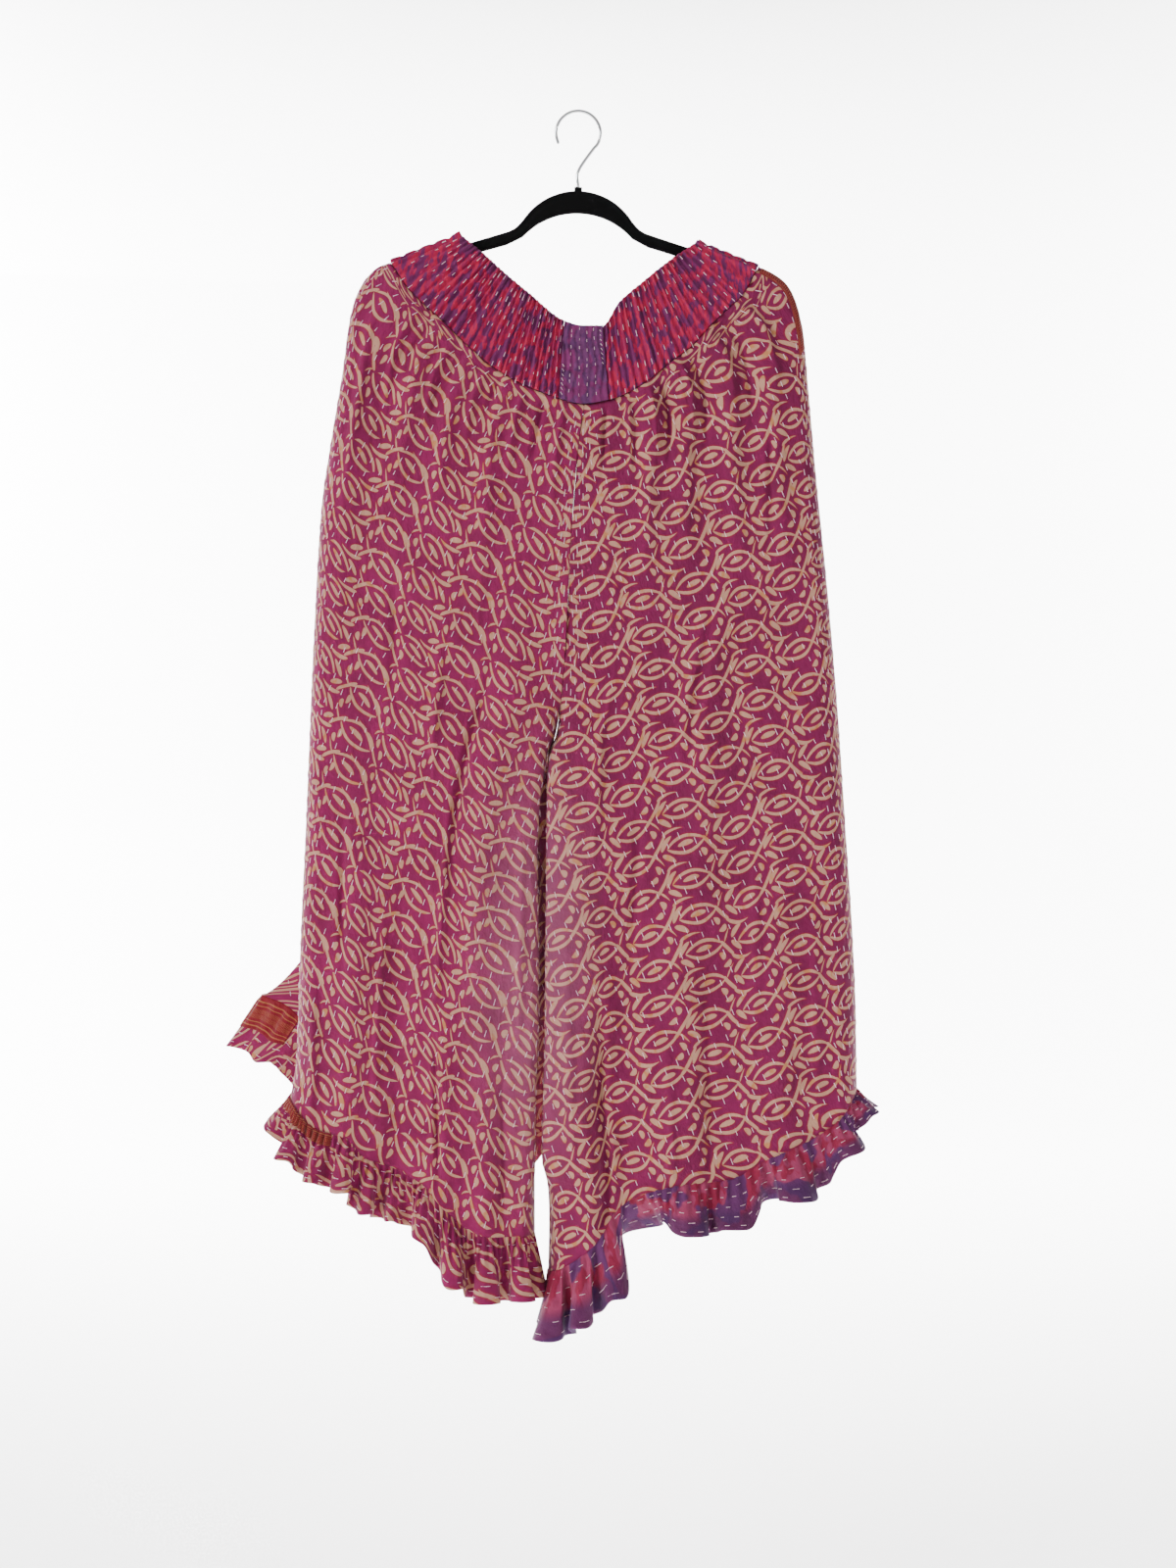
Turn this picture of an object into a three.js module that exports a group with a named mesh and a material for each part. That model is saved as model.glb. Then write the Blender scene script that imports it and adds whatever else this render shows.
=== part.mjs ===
// Ruffle capri pants hung by their elastic waist over the arms of a flat hanger.
// Millimetres. X is to the viewer's right, Y is away from the viewer and Z is up.
// The origin is the inner top of the hanger's hook, where a rail carries it.
import * as THREE from "three";

// Cloth
const LEG_WALL = 2;
const BAND_WALL = 3;
const RUFFLE_WALL = 1.6;
const TRIM_WALL = 1;
const BORDER_GAP = 0.5; // between a border strip and the cloth under it
const SEAM_GAP = 0.3;
const HALF_GAP = SEAM_GAP / 2;
const CENTRE_GAP = 0.225; // from the centre line to each leg's inner edge
const GATHERED_GAP = 1.1; // where one side of a seam is gathered

// Hanger
const HANGER_THICK = 4;
const HANGER_TILT = 1.0; // degrees, the right arm hangs lower
const NUB_TOP = -76;
const NUB_HALF_WIDTH = 4;
const HUMP = {
  outerTop: -80, outerRadius: 66, outerEnds: 33, // ends in degrees above the level
  innerTop: -103, innerRadius: 75, innerStarts: 88, innerEnds: 40,
};
const SHOULDER = [ // where the hump runs out into the arm, above the arm's line
  { x: 61, rise: 3.5 },
  { x: 68, rise: 0.4 },
];
const ARM = { slope: 17.4, topAt: { x: 108, z: -134.6 }, height: 13, innerStarts: 72 };
const TIP = { x: 182, radius: 30, straight: 9, width: 10 };
const CORNER_STEPS = 9;
const HOOK = {
  wire: 1.65, inner: 21, stemTop: -60,
  bendFrom: -50, bendStep: 17, opensAt: 205, pathSteps: 44,
};

// The lines of the garment's front view.
// Waist edge: from the left peak over the arm, down to the insert and up to the right peak.
const WAIST = [
  { x: -120, z: -126 },
  { x: -97, z: -145 },
  { x: -75, z: -165 },
  { x: -51, z: -185 },
  { x: -14, z: -214 },
  { x: 5, z: -219 },
  { x: 25, z: -219 },
  { x: 41, z: -196 },
  { x: 65, z: -175 },
  { x: 90, z: -155 },
  { x: 122, z: -133 },
];

// Seam under the waistband, from the left arm to the right arm.
const BAND_SEAM = [
  { x: -192, z: -153.4 },
  { x: -171, z: -184 },
  { x: -144, z: -209 },
  { x: -112, z: -240 },
  { x: -90, z: -259 },
  { x: -61, z: -277 },
  { x: -29, z: -290 },
  { x: 5, z: -299 },
  { x: 31, z: -295 },
  { x: 63, z: -281 },
  { x: 95, z: -256 },
  { x: 117, z: -239 },
  { x: 140, z: -214 },
  { x: 168, z: -187 },
  { x: 184, z: -157.5 },
];

// Centre seam from the waistband to the crotch, then the inner edge of each leg, by how far
// each place lies below the origin.
const CENTRE = [
  { fall: 290, left: 8, right: 8 },
  { fall: 335, left: 1, right: 1 },
  { fall: 402, left: -5, right: -5 },
  { fall: 468, left: -9, right: -9 },
  { fall: 535, left: -12, right: -12 },
  { fall: 587, left: -16, right: -16 },
  { fall: 635, left: -23, right: -23 },
  { fall: 657, left: -31, right: -31 },
  { fall: 697, left: -39, right: -31.5 },
  { fall: 757, left: -42.5, right: -32 },
  { fall: 848, left: -41, right: -33 },
  { fall: 938, left: -41, right: -34 },
  { fall: 1000, left: -44, right: -35.5 },
  { fall: 1059, left: -44.5, right: -37 },
  { fall: 1100, left: -44.5, right: -31 },
  { fall: 1125, left: -44.5, right: -30 },
  { fall: 1185, left: -44, right: -31 },
];
const CROTCH_Z = -657;
const CROTCH_DOWN = 0.43; // the share of a leg panel that lies above the crotch
const CROTCH_CURVE = 75; // height over which the front and back seams turn under

// Outer edge of each leg, over the arm's tip and down to the hem.
const LEFT_SIDE = [
  { down: 0, x: -192, z: -153.4 },
  { down: 0.02, x: -203, z: -157.3 },
  { down: 0.035, x: -213, z: -165.5 },
  { down: 0.053, x: -222, z: -178 },
  { down: 0.075, x: -229, z: -195 },
  { down: 0.1, x: -234, z: -217 },
  { down: 0.15, x: -240, z: -262 },
  { down: 0.235, x: -252, z: -335 },
  { down: 0.315, x: -262, z: -405 },
  { down: 0.455, x: -269, z: -525 },
  { down: 0.695, x: -278, z: -735 },
  { down: 0.82, x: -283, z: -846 },
  { down: 0.95, x: -287, z: -962 },
  { down: 1, x: -293, z: -1004 },
];
const RIGHT_SIDE = [
  { down: 0, x: 184, z: -157.5 },
  { down: 0.02, x: 200.5, z: -166 },
  { down: 0.037, x: 212, z: -175 },
  { down: 0.058, x: 221, z: -191 },
  { down: 0.08, x: 226.5, z: -210 },
  { down: 0.103, x: 230, z: -230 },
  { down: 0.167, x: 235, z: -285 },
  { down: 0.272, x: 243, z: -375 },
  { down: 0.414, x: 255, z: -495 },
  { down: 0.554, x: 265, z: -615 },
  { down: 0.696, x: 273, z: -735 },
  { down: 0.8, x: 279, z: -825 },
  { down: 0.905, x: 283, z: -915 },
  { down: 1, x: 284, z: -995 },
];

// Hem seam of each leg from its outer edge (across 0) to its inner edge (across 1).
const LEFT_HEM = [
  { across: 0, z: -1004 },
  { across: 0.12, z: -1033 },
  { across: 0.24, z: -1041 },
  { across: 0.32, z: -1062 },
  { across: 0.43, z: -1073 },
  { across: 0.54, z: -1087 },
  { across: 0.65, z: -1116 },
  { across: 0.74, z: -1135 },
  { across: 0.84, z: -1141 },
  { across: 1, z: -1141 },
];
const RIGHT_HEM = [
  { across: 0, z: -995 },
  { across: 0.06, z: -1022 },
  { across: 0.18, z: -1047 },
  { across: 0.3, z: -1063 },
  { across: 0.42, z: -1084 },
  { across: 0.56, z: -1088 },
  { across: 0.68, z: -1097 },
  { across: 0.78, z: -1116 },
  { across: 0.84, z: -1145 },
  { across: 0.93, z: -1168 },
  { across: 1, z: -1180 },
];

// How far the front and back layers stand from the hanger's plane, down the leg, and how
// widely the cloth turns at its outer edge.
const LAYERS = [
  { down: 0, front: 9, back: 9, turn: 9 },
  { down: 0.06, front: 11, back: 12, turn: 12 },
  { down: 0.2, front: 17, back: 20, turn: 17 },
  { down: 0.5, front: 25, back: 32, turn: 22 },
  { down: 0.8, front: 31, back: 41, turn: 26 },
  { down: 1, front: 35, back: 46, turn: 28 },
];
const INNER_TURN_SHARE = 0.056; // of the panel's width, for the turn at the inner edge of a leg
const CENTRE_TOP_X = 8;
const INSEAM_Y = 4;
const BACK_DIP = 8; // the back of the waist sags this much lower
const BACK_HEM_DROP = 14;
const EDGE_SPAN = 380; // length of one unit across, next to the outer edge
const OUTER_SHARE = 0.2; // of the columns, for the turn at the outer edge
const INNER_SHARE = 0.12; // and for the turn at the inner edge

// Folds that hang from the band and from the hips. Across and down are shares of the panel,
// lean is how far a fold wanders across from its start to its end.
const FOLDS = {
  left_front: [
    { across: 0.13, from: -0.05, to: 0.45, wide: 0.05, depth: 5, lean: -0.05 },
    { across: 0.3, from: -0.08, to: 0.3, wide: 0.045, depth: 5, lean: -0.04 },
    { across: 0.45, from: -0.05, to: 0.22, wide: 0.035, depth: 4, lean: -0.02 },
    { across: 0.62, from: -0.06, to: 0.35, wide: 0.04, depth: 4, lean: 0.02 },
    { across: 0.84, from: 0.2, to: 0.95, wide: 0.09, depth: 9, lean: -0.2 },
    { across: 0.6, from: 0.6, to: 1.3, wide: 0.05, depth: 6, lean: 0.03 },
    { across: 0.24, from: 0.55, to: 1.3, wide: 0.07, depth: 7, lean: -0.02 },
    { across: 0.42, from: 0.62, to: 1.3, wide: 0.05, depth: -6, lean: 0.02 },
    { across: 0.78, from: 0.68, to: 1.3, wide: 0.05, depth: 6, lean: 0.04 },
  ],
  right_front: [
    { across: 0.17, from: -0.05, to: 0.4, wide: 0.05, depth: 5, lean: -0.04 },
    { across: 0.33, from: -0.08, to: 0.32, wide: 0.04, depth: 5, lean: -0.02 },
    { across: 0.5, from: -0.06, to: 0.25, wide: 0.035, depth: 5, lean: 0.02 },
    { across: 0.66, from: -0.06, to: 0.3, wide: 0.04, depth: 5, lean: 0.03 },
    { across: 0.4, from: 0.22, to: 0.75, wide: 0.06, depth: 6, lean: 0.1 },
    { across: 0.9, from: 0.45, to: 1.3, wide: 0.06, depth: 7, lean: -0.06 },
    { across: 0.74, from: 0.6, to: 1.3, wide: 0.05, depth: -7, lean: 0.02 },
    { across: 0.55, from: 0.5, to: 1.3, wide: 0.08, depth: 6, lean: 0.03 },
    { across: 0.24, from: 0.55, to: 1.3, wide: 0.07, depth: 6, lean: 0.02 },
  ],
  left_back: [
    { across: 0.25, from: -0.06, to: 0.45, wide: 0.05, depth: 6, lean: -0.03 },
    { across: 0.5, from: -0.05, to: 0.4, wide: 0.05, depth: 6, lean: 0.0 },
    { across: 0.72, from: -0.06, to: 0.5, wide: 0.05, depth: 6, lean: 0.03 },
    { across: 0.6, from: 0.45, to: 1.3, wide: 0.06, depth: 9, lean: 0.03 },
    { across: 0.8, from: 0.5, to: 1.3, wide: 0.05, depth: 7, lean: 0.02 },
  ],
  right_back: [
    { across: 0.22, from: -0.06, to: 0.45, wide: 0.05, depth: 6, lean: -0.03 },
    { across: 0.46, from: -0.05, to: 0.4, wide: 0.05, depth: 6, lean: 0.0 },
    { across: 0.7, from: -0.06, to: 0.5, wide: 0.05, depth: 6, lean: 0.03 },
    { across: 0.25, from: 0.45, to: 1.3, wide: 0.06, depth: 9, lean: -0.03 },
    { across: 0.5, from: 0.5, to: 1.3, wide: 0.06, depth: 9, lean: 0.02 },
    { across: 0.75, from: 0.5, to: 1.3, wide: 0.05, depth: 7, lean: 0.02 },
  ],
};

// The left leg's back swings out to the side as a lobe. This is its hem, seen from above,
// by shares of the back panel's columns; above LOBE_TOP the panel hangs like the others.
const LOBE = [
  { column: 0, x: -293, y: 0, z: -1004 },
  { column: 0.07, x: -289, y: 10, z: -996 },
  { column: 0.15, x: -270, y: 26, z: -979 },
  { column: 0.22, x: -274, y: 40, z: -952 },
  { column: 0.29, x: -306, y: 56, z: -917 },
  { column: 0.335, x: -332, y: 70, z: -908 },
  { column: 0.38, x: -329, y: 84, z: -908 },
  { column: 0.45, x: -294, y: 92, z: -928 },
  { column: 0.6, x: -215, y: 80, z: -1000 },
  { column: 0.75, x: -145, y: 66, z: -1070 },
  { column: 0.9, x: -72, y: 46, z: -1135 },
  { column: 1, x: -44, y: INSEAM_Y, z: -1141 },
];
const LOBE_TOP = 0.64;
const LOBE_GROWTH = 1.3;

// Behind the slit between the legs, the left back bulges across it and the right back yields.
const SLIT_COVER = { left: 34, right: 22, top: -640, bottom: -1075, ramp: 40, columns: 0.24 };

// Ruffles: how far the free edge lies from the hem seam, sideways and down, and how high the
// waves stand there, by shares of the ruffle's length from the outer edge to the inner one.
const RUFFLES = {
  left_front: {
    waves: 14,
    rows: [
      { along: 0, out: -20, drop: 26, wave: 4 },
      { along: 0.06, out: -15, drop: 40, wave: 7 },
      { along: 0.2, out: -12, drop: 47, wave: 9 },
      { along: 0.45, out: -6, drop: 52, wave: 9 },
      { along: 0.58, out: -2, drop: 52, wave: 9 },
      { along: 0.68, out: 0, drop: 68, wave: 9 },
      { along: 0.92, out: 0, drop: 66, wave: 9 },
      { along: 1, out: 0, drop: 64, wave: 1 },
    ],
  },
  left_back: {
    waves: 13,
    rows: [
      { along: 0, out: -20, drop: 26, wave: 4 },
      { along: 0.14, out: -12, drop: 42, wave: 4 },
      { along: 0.32, out: -34, drop: 52, wave: 2 },
      { along: 0.42, out: -26, drop: 54, wave: 5 },
      { along: 0.7, out: -4, drop: 60, wave: 10 },
      { along: 0.92, out: 0, drop: 72, wave: 8 },
      { along: 1, out: 0, drop: 66, wave: 1 },
    ],
  },
  right_front: {
    waves: 13,
    rows: [
      { along: 0, out: 20, drop: 14, wave: 4 },
      { along: 0.06, out: 16, drop: 26, wave: 6 },
      { along: 0.16, out: 12, drop: 34, wave: 8 },
      { along: 0.3, out: 9, drop: 48, wave: 10 },
      { along: 0.4, out: 6, drop: 48, wave: 10 },
      { along: 0.6, out: 2, drop: 46, wave: 10 },
      { along: 0.76, out: 4, drop: 66, wave: 12 },
      { along: 0.92, out: 1, drop: 70, wave: 12 },
      { along: 1, out: 0, drop: 66, wave: 1 },
    ],
  },
  right_back: {
    waves: 14,
    rows: [
      { along: 0, out: 20, drop: 14, wave: 4 },
      { along: 0.2, out: 12, drop: 30, wave: 9 },
      { along: 0.5, out: 6, drop: 40, wave: 10 },
      { along: 0.8, out: 2, drop: 44, wave: 10 },
      { along: 0.93, out: 0, drop: 56, wave: 8 },
      { along: 1, out: 0, drop: 58, wave: 1 },
    ],
  },
};
const WAVE = { growth: 1.3, sway: 0.25, lift: 0.12 }; // down the ruffle, sideways and upwards
const RUFFLE_FLARE = 12; // how far the free edge stands out from the leg

// Waistband gathers
const BAND_DEEP = 77;
const GATHERS = { front_left: 28, front_right: 22, back: 50 };
const GATHER_HEIGHT = 2.2;
const GATHER_UNEVEN = { least: 0.8, spread: 0.2, beat: 2.3, dip: 0.35 };
const INSERT_CREASES = [{ down: 0.28 }, { down: 0.57 }, { down: 0.8 }];
const INSERT_CREASE = { depth: 1.2, wide: 0.06 };
const INSERT = { topLeft: -14, topRight: 25, seamLeft: -20, seamRight: 31 };

// Grids
const LEG_GRID = {
  columns: 20,
  rows: [0, 0.02, 0.04, 0.065, 0.1, 0.16, 0.25, 0.36, 0.47, 0.57, 0.65, 0.72, 0.79, 0.86, 0.93, 1],
};
const RUFFLE_GRID = { columnsPerWave: 5, rows: 3 };
const BAND_ROWS = 3;
const BAND_TURN = { share: 0.08, reach: 0.0275 }; // where the band turns over an arm

// A smooth, never overshooting value of one column of a table at a place between its rows.
function read(rows, key, column, at) {
  const last = rows.length - 1;
  if (at <= rows[0][key]) return rows[0][column];
  if (at >= rows[last][key]) return rows[last][column];
  let i = 0;
  while (rows[i + 1][key] < at) i += 1;
  const rise = (k) => (rows[k + 1][column] - rows[k][column]) / (rows[k + 1][key] - rows[k][key]);
  const slope = (k) => {
    if (k === 0) return rise(0);
    if (k === last) return rise(last - 1);
    const before = rise(k - 1);
    const after = rise(k);
    return before * after <= 0 ? 0 : (2 * before * after) / (before + after);
  };
  const span = rows[i + 1][key] - rows[i][key];
  const t = (at - rows[i][key]) / span;
  const low = rows[i][column];
  const high = rows[i + 1][column];
  const ease = t * t * (3 - 2 * t);
  const lift = t * (1 - t) * (1 - t) * slope(i) * span - t * t * (1 - t) * slope(i + 1) * span;
  return low + (high - low) * ease + lift;
}

const mix = (a, b, t) => a + (b - a) * t;
const clamp = (t) => Math.min(1, Math.max(0, t));
const smooth = (t) => clamp(t) ** 2 * (3 - 2 * clamp(t));
const radians = THREE.MathUtils.degToRad;
const STEP = 0.001; // a short way along a surface, to find how it slopes

// A patch in the front view between four edge curves, each giving [x, z].
function frontPatch(top, bottom, outer, inner) {
  const [x00, z00] = top(0);
  const [x10, z10] = top(1);
  const [x01, z01] = bottom(0);
  const [x11, z11] = bottom(1);
  const blend = (a, d, t, b, o, i, p00, p10, p01, p11) =>
    (1 - d) * t + d * b + (1 - a) * o + a * i
    - (1 - a) * (1 - d) * p00 - a * (1 - d) * p10 - (1 - a) * d * p01 - a * d * p11;
  return (across, down) => {
    const t = top(across);
    const b = bottom(across);
    const o = outer(down);
    const i = inner(down);
    return [
      blend(across, down, t[0], b[0], o[0], i[0], x00, x10, x01, x11),
      blend(across, down, t[1], b[1], o[1], i[1], z00, z10, z01, z11),
    ];
  };
}

// The course of a layer across a panel: it turns a quarter round at the outer edge, runs
// flat and, as far as the leg is closed there, turns a quarter round at the inner edge.
function layerCourse(column, outerTurn, innerTurn, closed) {
  const c = Math.abs(column);
  if (c < OUTER_SHARE) {
    const angle = (column / OUTER_SHARE) * (Math.PI / 2);
    return { across: outerTurn * (1 - Math.cos(angle)), depth: Math.sin(angle) };
  }
  if (c <= 1 - INNER_SHARE) {
    const t = (c - OUTER_SHARE) / (1 - INNER_SHARE - OUTER_SHARE);
    return { across: mix(outerTurn, 1 - innerTurn, t), depth: 1 };
  }
  const t = (1 - c) / INNER_SHARE;
  const angle = t * (Math.PI / 2);
  const turned = { across: 1 - innerTurn * (1 - Math.cos(angle)), depth: Math.sin(angle) };
  return {
    across: mix(1 - innerTurn * t, turned.across, closed),
    depth: mix(1, turned.depth, closed),
  };
}

function foldDepth(folds, across, down) {
  let sum = 0;
  for (const f of folds) {
    const t = (down - f.from) / (f.to - f.from);
    if (t <= 0 || t >= 1) continue;
    const off = (across - f.across - f.lean * t) / f.wide;
    sum += f.depth * Math.sin(Math.PI * t) * Math.exp(-off * off);
  }
  return sum;
}

// One leg panel as a surface of columns and rows, both from 0 to 1.
function legSurface(leg, face) {
  const isLeft = leg === "left";
  const isFront = face === "front";
  const side = isLeft ? LEFT_SIDE : RIGHT_SIDE;
  const hem = isLeft ? LEFT_HEM : RIGHT_HEM;
  const away = isFront ? -1 : 1;
  const gap = isLeft ? -CENTRE_GAP : CENTRE_GAP;
  const sag = isFront ? 0 : BACK_DIP;
  const hemDrop = isFront ? 0 : BACK_HEM_DROP;
  const centreTop = read(BAND_SEAM, "x", "z", CENTRE_TOP_X);
  const centreX = (z) => read(CENTRE, "fall", leg, -z) + gap;
  const outer = (d) => [read(side, "down", "x", d), read(side, "down", "z", d)];
  const innerZ = (d) => mix(centreTop - sag, hem[hem.length - 1].z, d);
  const inner = (d) => [centreX(innerZ(d)), innerZ(d)];
  const x0 = outer(0)[0];
  const x1 = inner(0)[0];
  const top = (a) => [mix(x0, x1, a), seamZ(mix(x0, x1, a), sag)];
  const h0 = outer(1)[0];
  const h1 = inner(1)[0];
  const bottom = (a) => [
    mix(h0, h1, a),
    read(hem, "across", "z", a) - hemDrop * Math.sin(Math.PI * clamp(a)),
  ];
  const patch = frontPatch(top, bottom, outer, inner);
  const folds = FOLDS[`${leg}_${face}`];
  const plain = (column, down) => {
    const z = innerZ(down);
    const closed = smooth((CROTCH_Z + CROTCH_CURVE - z) / CROTCH_CURVE);
    const turn = read(LAYERS, "down", "turn", down) / EDGE_SPAN;
    const course = layerCourse(column, turn, INNER_TURN_SHARE, closed);
    const [x, pz] = patch(course.across, down);
    const edge = mix(0, INSEAM_Y, column) + away * HALF_GAP;
    const stand = read(LAYERS, "down", face, down) + foldDepth(folds, course.across, down);
    let shift = 0;
    if (!isFront && column > 1 - SLIT_COVER.columns) {
      const s = Math.sin((Math.PI * (1 - column)) / SLIT_COVER.columns) ** 2;
      const open = smooth((SLIT_COVER.top - z) / SLIT_COVER.ramp)
        * smooth((z - SLIT_COVER.bottom) / SLIT_COVER.ramp);
      shift = SLIT_COVER[leg] * s * open;
    }
    return new THREE.Vector3(x + shift, mix(edge, away * stand, course.depth), pz);
  };
  if (isFront || !isLeft) return plain;
  return (column, down) => {
    const p = plain(column, down);
    const grow = clamp((down - LOBE_TOP) / (1 - LOBE_TOP)) ** LOBE_GROWTH;
    if (grow === 0) return p;
    const base = plain(column, 1);
    const at = (key) => read(LOBE, "column", key, column);
    p.x += grow * (at("x") - base.x - (column > 0.5 ? HALF_GAP : 0));
    p.y += grow * (Math.max(at("y"), HALF_GAP) - base.y);
    p.z += grow * (at("z") - base.z);
    return p;
  };
}

// A line across the garment, which sags lower at the back.
function saggingZ(rows, x, sag) {
  const t = clamp((x - rows[0].x) / (rows.at(-1).x - rows[0].x));
  return read(rows, "x", "z", x) - sag * Math.sin(Math.PI * t);
}
const waistZ = (x, sag) => saggingZ(WAIST, x, sag);

// The seam under the waistband runs straight between the columns of the leg panels, so that
// the band's many gathers meet the panels without a step.
function seamZ(x, sag) {
  const crossings = SEAM_CROSSINGS;
  let i = 0;
  while (i < crossings.length - 2 && crossings[i + 1] < x) i += 1;
  const t = (x - crossings[i]) / (crossings[i + 1] - crossings[i]);
  return mix(
    saggingZ(BAND_SEAM, crossings[i], sag),
    saggingZ(BAND_SEAM, crossings[i + 1], sag),
    t,
  );
}

function seamCrossings() {
  const turn = LAYERS[0].turn / EDGE_SPAN;
  const across = [];
  for (let i = 0; i <= LEG_GRID.columns; i += 1) {
    across.push(layerCourse(i / LEG_GRID.columns, turn, INNER_TURN_SHARE, 0).across);
  }
  const centre = read(CENTRE, "fall", "left", -read(BAND_SEAM, "x", "z", CENTRE_TOP_X));
  const left = across.map((a) => mix(BAND_SEAM[0].x, centre - HALF_GAP, a));
  const right = across.map((a) => mix(BAND_SEAM.at(-1).x, centre + HALF_GAP, a)).reverse();
  return [...left, ...right];
}
const SEAM_CROSSINGS = seamCrossings();

// A stretch of waistband between two places on the waist edge and two on the seam. It turns
// over the arm where it starts or ends at the arm.
function bandSurface(face, from, to) {
  const away = face === "front" ? -1 : 1;
  const sag = face === "front" ? 0 : BACK_DIP;
  const top = (a) => [mix(from.waist, to.waist, a), waistZ(mix(from.waist, to.waist, a), sag)];
  const bottom = (a) => [mix(from.seam, to.seam, a), seamZ(mix(from.seam, to.seam, a), sag)];
  const line = (p, q) => (d) => [mix(p[0], q[0], d), mix(p[1], q[1], d)];
  const outer = line(top(0), bottom(0));
  const inner = line(top(1), bottom(1));
  const patch = frontPatch(top, bottom, outer, inner);
  const stand = LAYERS[0][face];
  const share = BAND_TURN.share * (from.overArm && to.overArm ? 0.5 : 1);
  const reach = BAND_TURN.reach * (from.overArm && to.overArm ? 0.5 : 1);
  return (column, down) => {
    let across = column;
    let depth = 1;
    const start = from.overArm ? share : 0;
    const end = to.overArm ? share : 0;
    if (from.overArm && column < start) {
      const angle = (column / start) * (Math.PI / 2);
      across = reach * (1 - Math.cos(angle));
      depth = Math.sin(angle);
    } else if (to.overArm && column > 1 - end) {
      const angle = ((1 - column) / end) * (Math.PI / 2);
      across = 1 - reach * (1 - Math.cos(angle));
      depth = Math.sin(angle);
    } else {
      const t = (column - start) / (1 - start - end);
      across = mix(from.overArm ? reach : 0, to.overArm ? 1 - reach : 1, t);
    }
    const [x, z] = patch(across, down);
    return new THREE.Vector3(x, mix(away * HALF_GAP, away * stand, depth), z);
  };
}

// The hem as the panel's columns leave it, straight between them and on past its ends.
function hemChords(surface) {
  const points = [];
  for (let i = 0; i <= LEG_GRID.columns; i += 1) points.push(surface(i / LEG_GRID.columns, 1));
  return (along) => {
    const place = along * LEG_GRID.columns;
    const i = Math.min(LEG_GRID.columns - 1, Math.max(0, Math.floor(place)));
    return points[i].clone().lerp(points[i + 1], place - i);
  };
}

// The ruffle hangs from the leg's hem and its waves grow towards the free edge.
function ruffleSurface(leg, face) {
  const panel = hemChords(legSurface(leg, face));
  const away = face === "front" ? -1 : 1;
  const { waves, rows } = RUFFLES[`${leg}_${face}`];
  return (along, down) => {
    const hem = panel(along);
    const tangent = panel(along + STEP).sub(panel(along - STEP)).setZ(0).normalize();
    const normal = new THREE.Vector3(tangent.y, -tangent.x, 0);
    if (leg === "right") normal.negate();
    if (face === "back") normal.negate();
    const out = read(rows, "along", "out", along);
    const drop = read(rows, "along", "drop", along);
    const wave = read(rows, "along", "wave", along);
    const swell = Math.max(0, down) ** WAVE.growth;
    const turn = 2 * Math.PI * waves * along;
    const height = wave * swell * Math.sin(turn);
    const flare = RUFFLE_FLARE * down * (1 - 0.6 * down) * Math.sin(Math.PI * clamp(along) ** 0.8);
    const sway = WAVE.sway * wave * swell * Math.sin(2 * turn);
    const fall = GATHERED_GAP + drop * down + WAVE.lift * wave * swell * Math.cos(turn);
    return new THREE.Vector3(
      hem.x + out * down + normal.x * height + tangent.x * sway,
      hem.y + away * flare + normal.y * height + tangent.y * sway,
      hem.z - fall,
    );
  };
}

// The outward normal of a surface, by small steps to either side. At a seam above or below,
// it is level, and where a panel meets its fellow over an edge, it has no Y, so that the
// walls of both pieces meet face to face.
function normalAt(surface, column, row, level, edge) {
  const across = surface(column + STEP, row).sub(surface(column - STEP, row));
  const down = surface(column, row + STEP).sub(surface(column, row - STEP));
  if (edge) across.set(0, edge, 0);
  if (level) down.set(0, 0, -1);
  return across.cross(down).normalize();
}

// A closed wall of cloth: outer points on the surface and inner ones behind it.
function wall(surface, options) {
  const { columns, thick, side, raise = () => 0, innerEdgeFrom = 0 } = options;
  const { from = 0, to = 1, start = 0, end = 1 } = options;
  const { levelStart = false, levelEnd = false, outerEdge = 0, innerEdge = 0 } = options;
  const even = (count) => Array.from({ length: count + 1 }, (_, j) => j / count);
  const levels = Array.isArray(options.rows) ? options.rows : even(options.rows);
  const rows = levels.length - 1;
  const outer = [];
  const inner = [];
  for (let j = 0; j <= rows; j += 1) {
    for (let i = 0; i <= columns; i += 1) {
      const column = mix(from, to, i / columns);
      const row = mix(start, end, levels[j]);
      const p = surface(column, row);
      const level = (j === 0 && levelStart) || (j === rows && levelEnd);
      const edge = (i === 0 && outerEdge) || (i === columns && row >= innerEdgeFrom && innerEdge);
      const n = normalAt(surface, column, row, level, edge).multiplyScalar(side);
      outer.push(p.clone().addScaledVector(n, raise(column, levels[j])));
      inner.push(p.clone().addScaledVector(n, -thick));
    }
  }
  return closedGrid(outer, inner, columns, rows);
}

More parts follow.
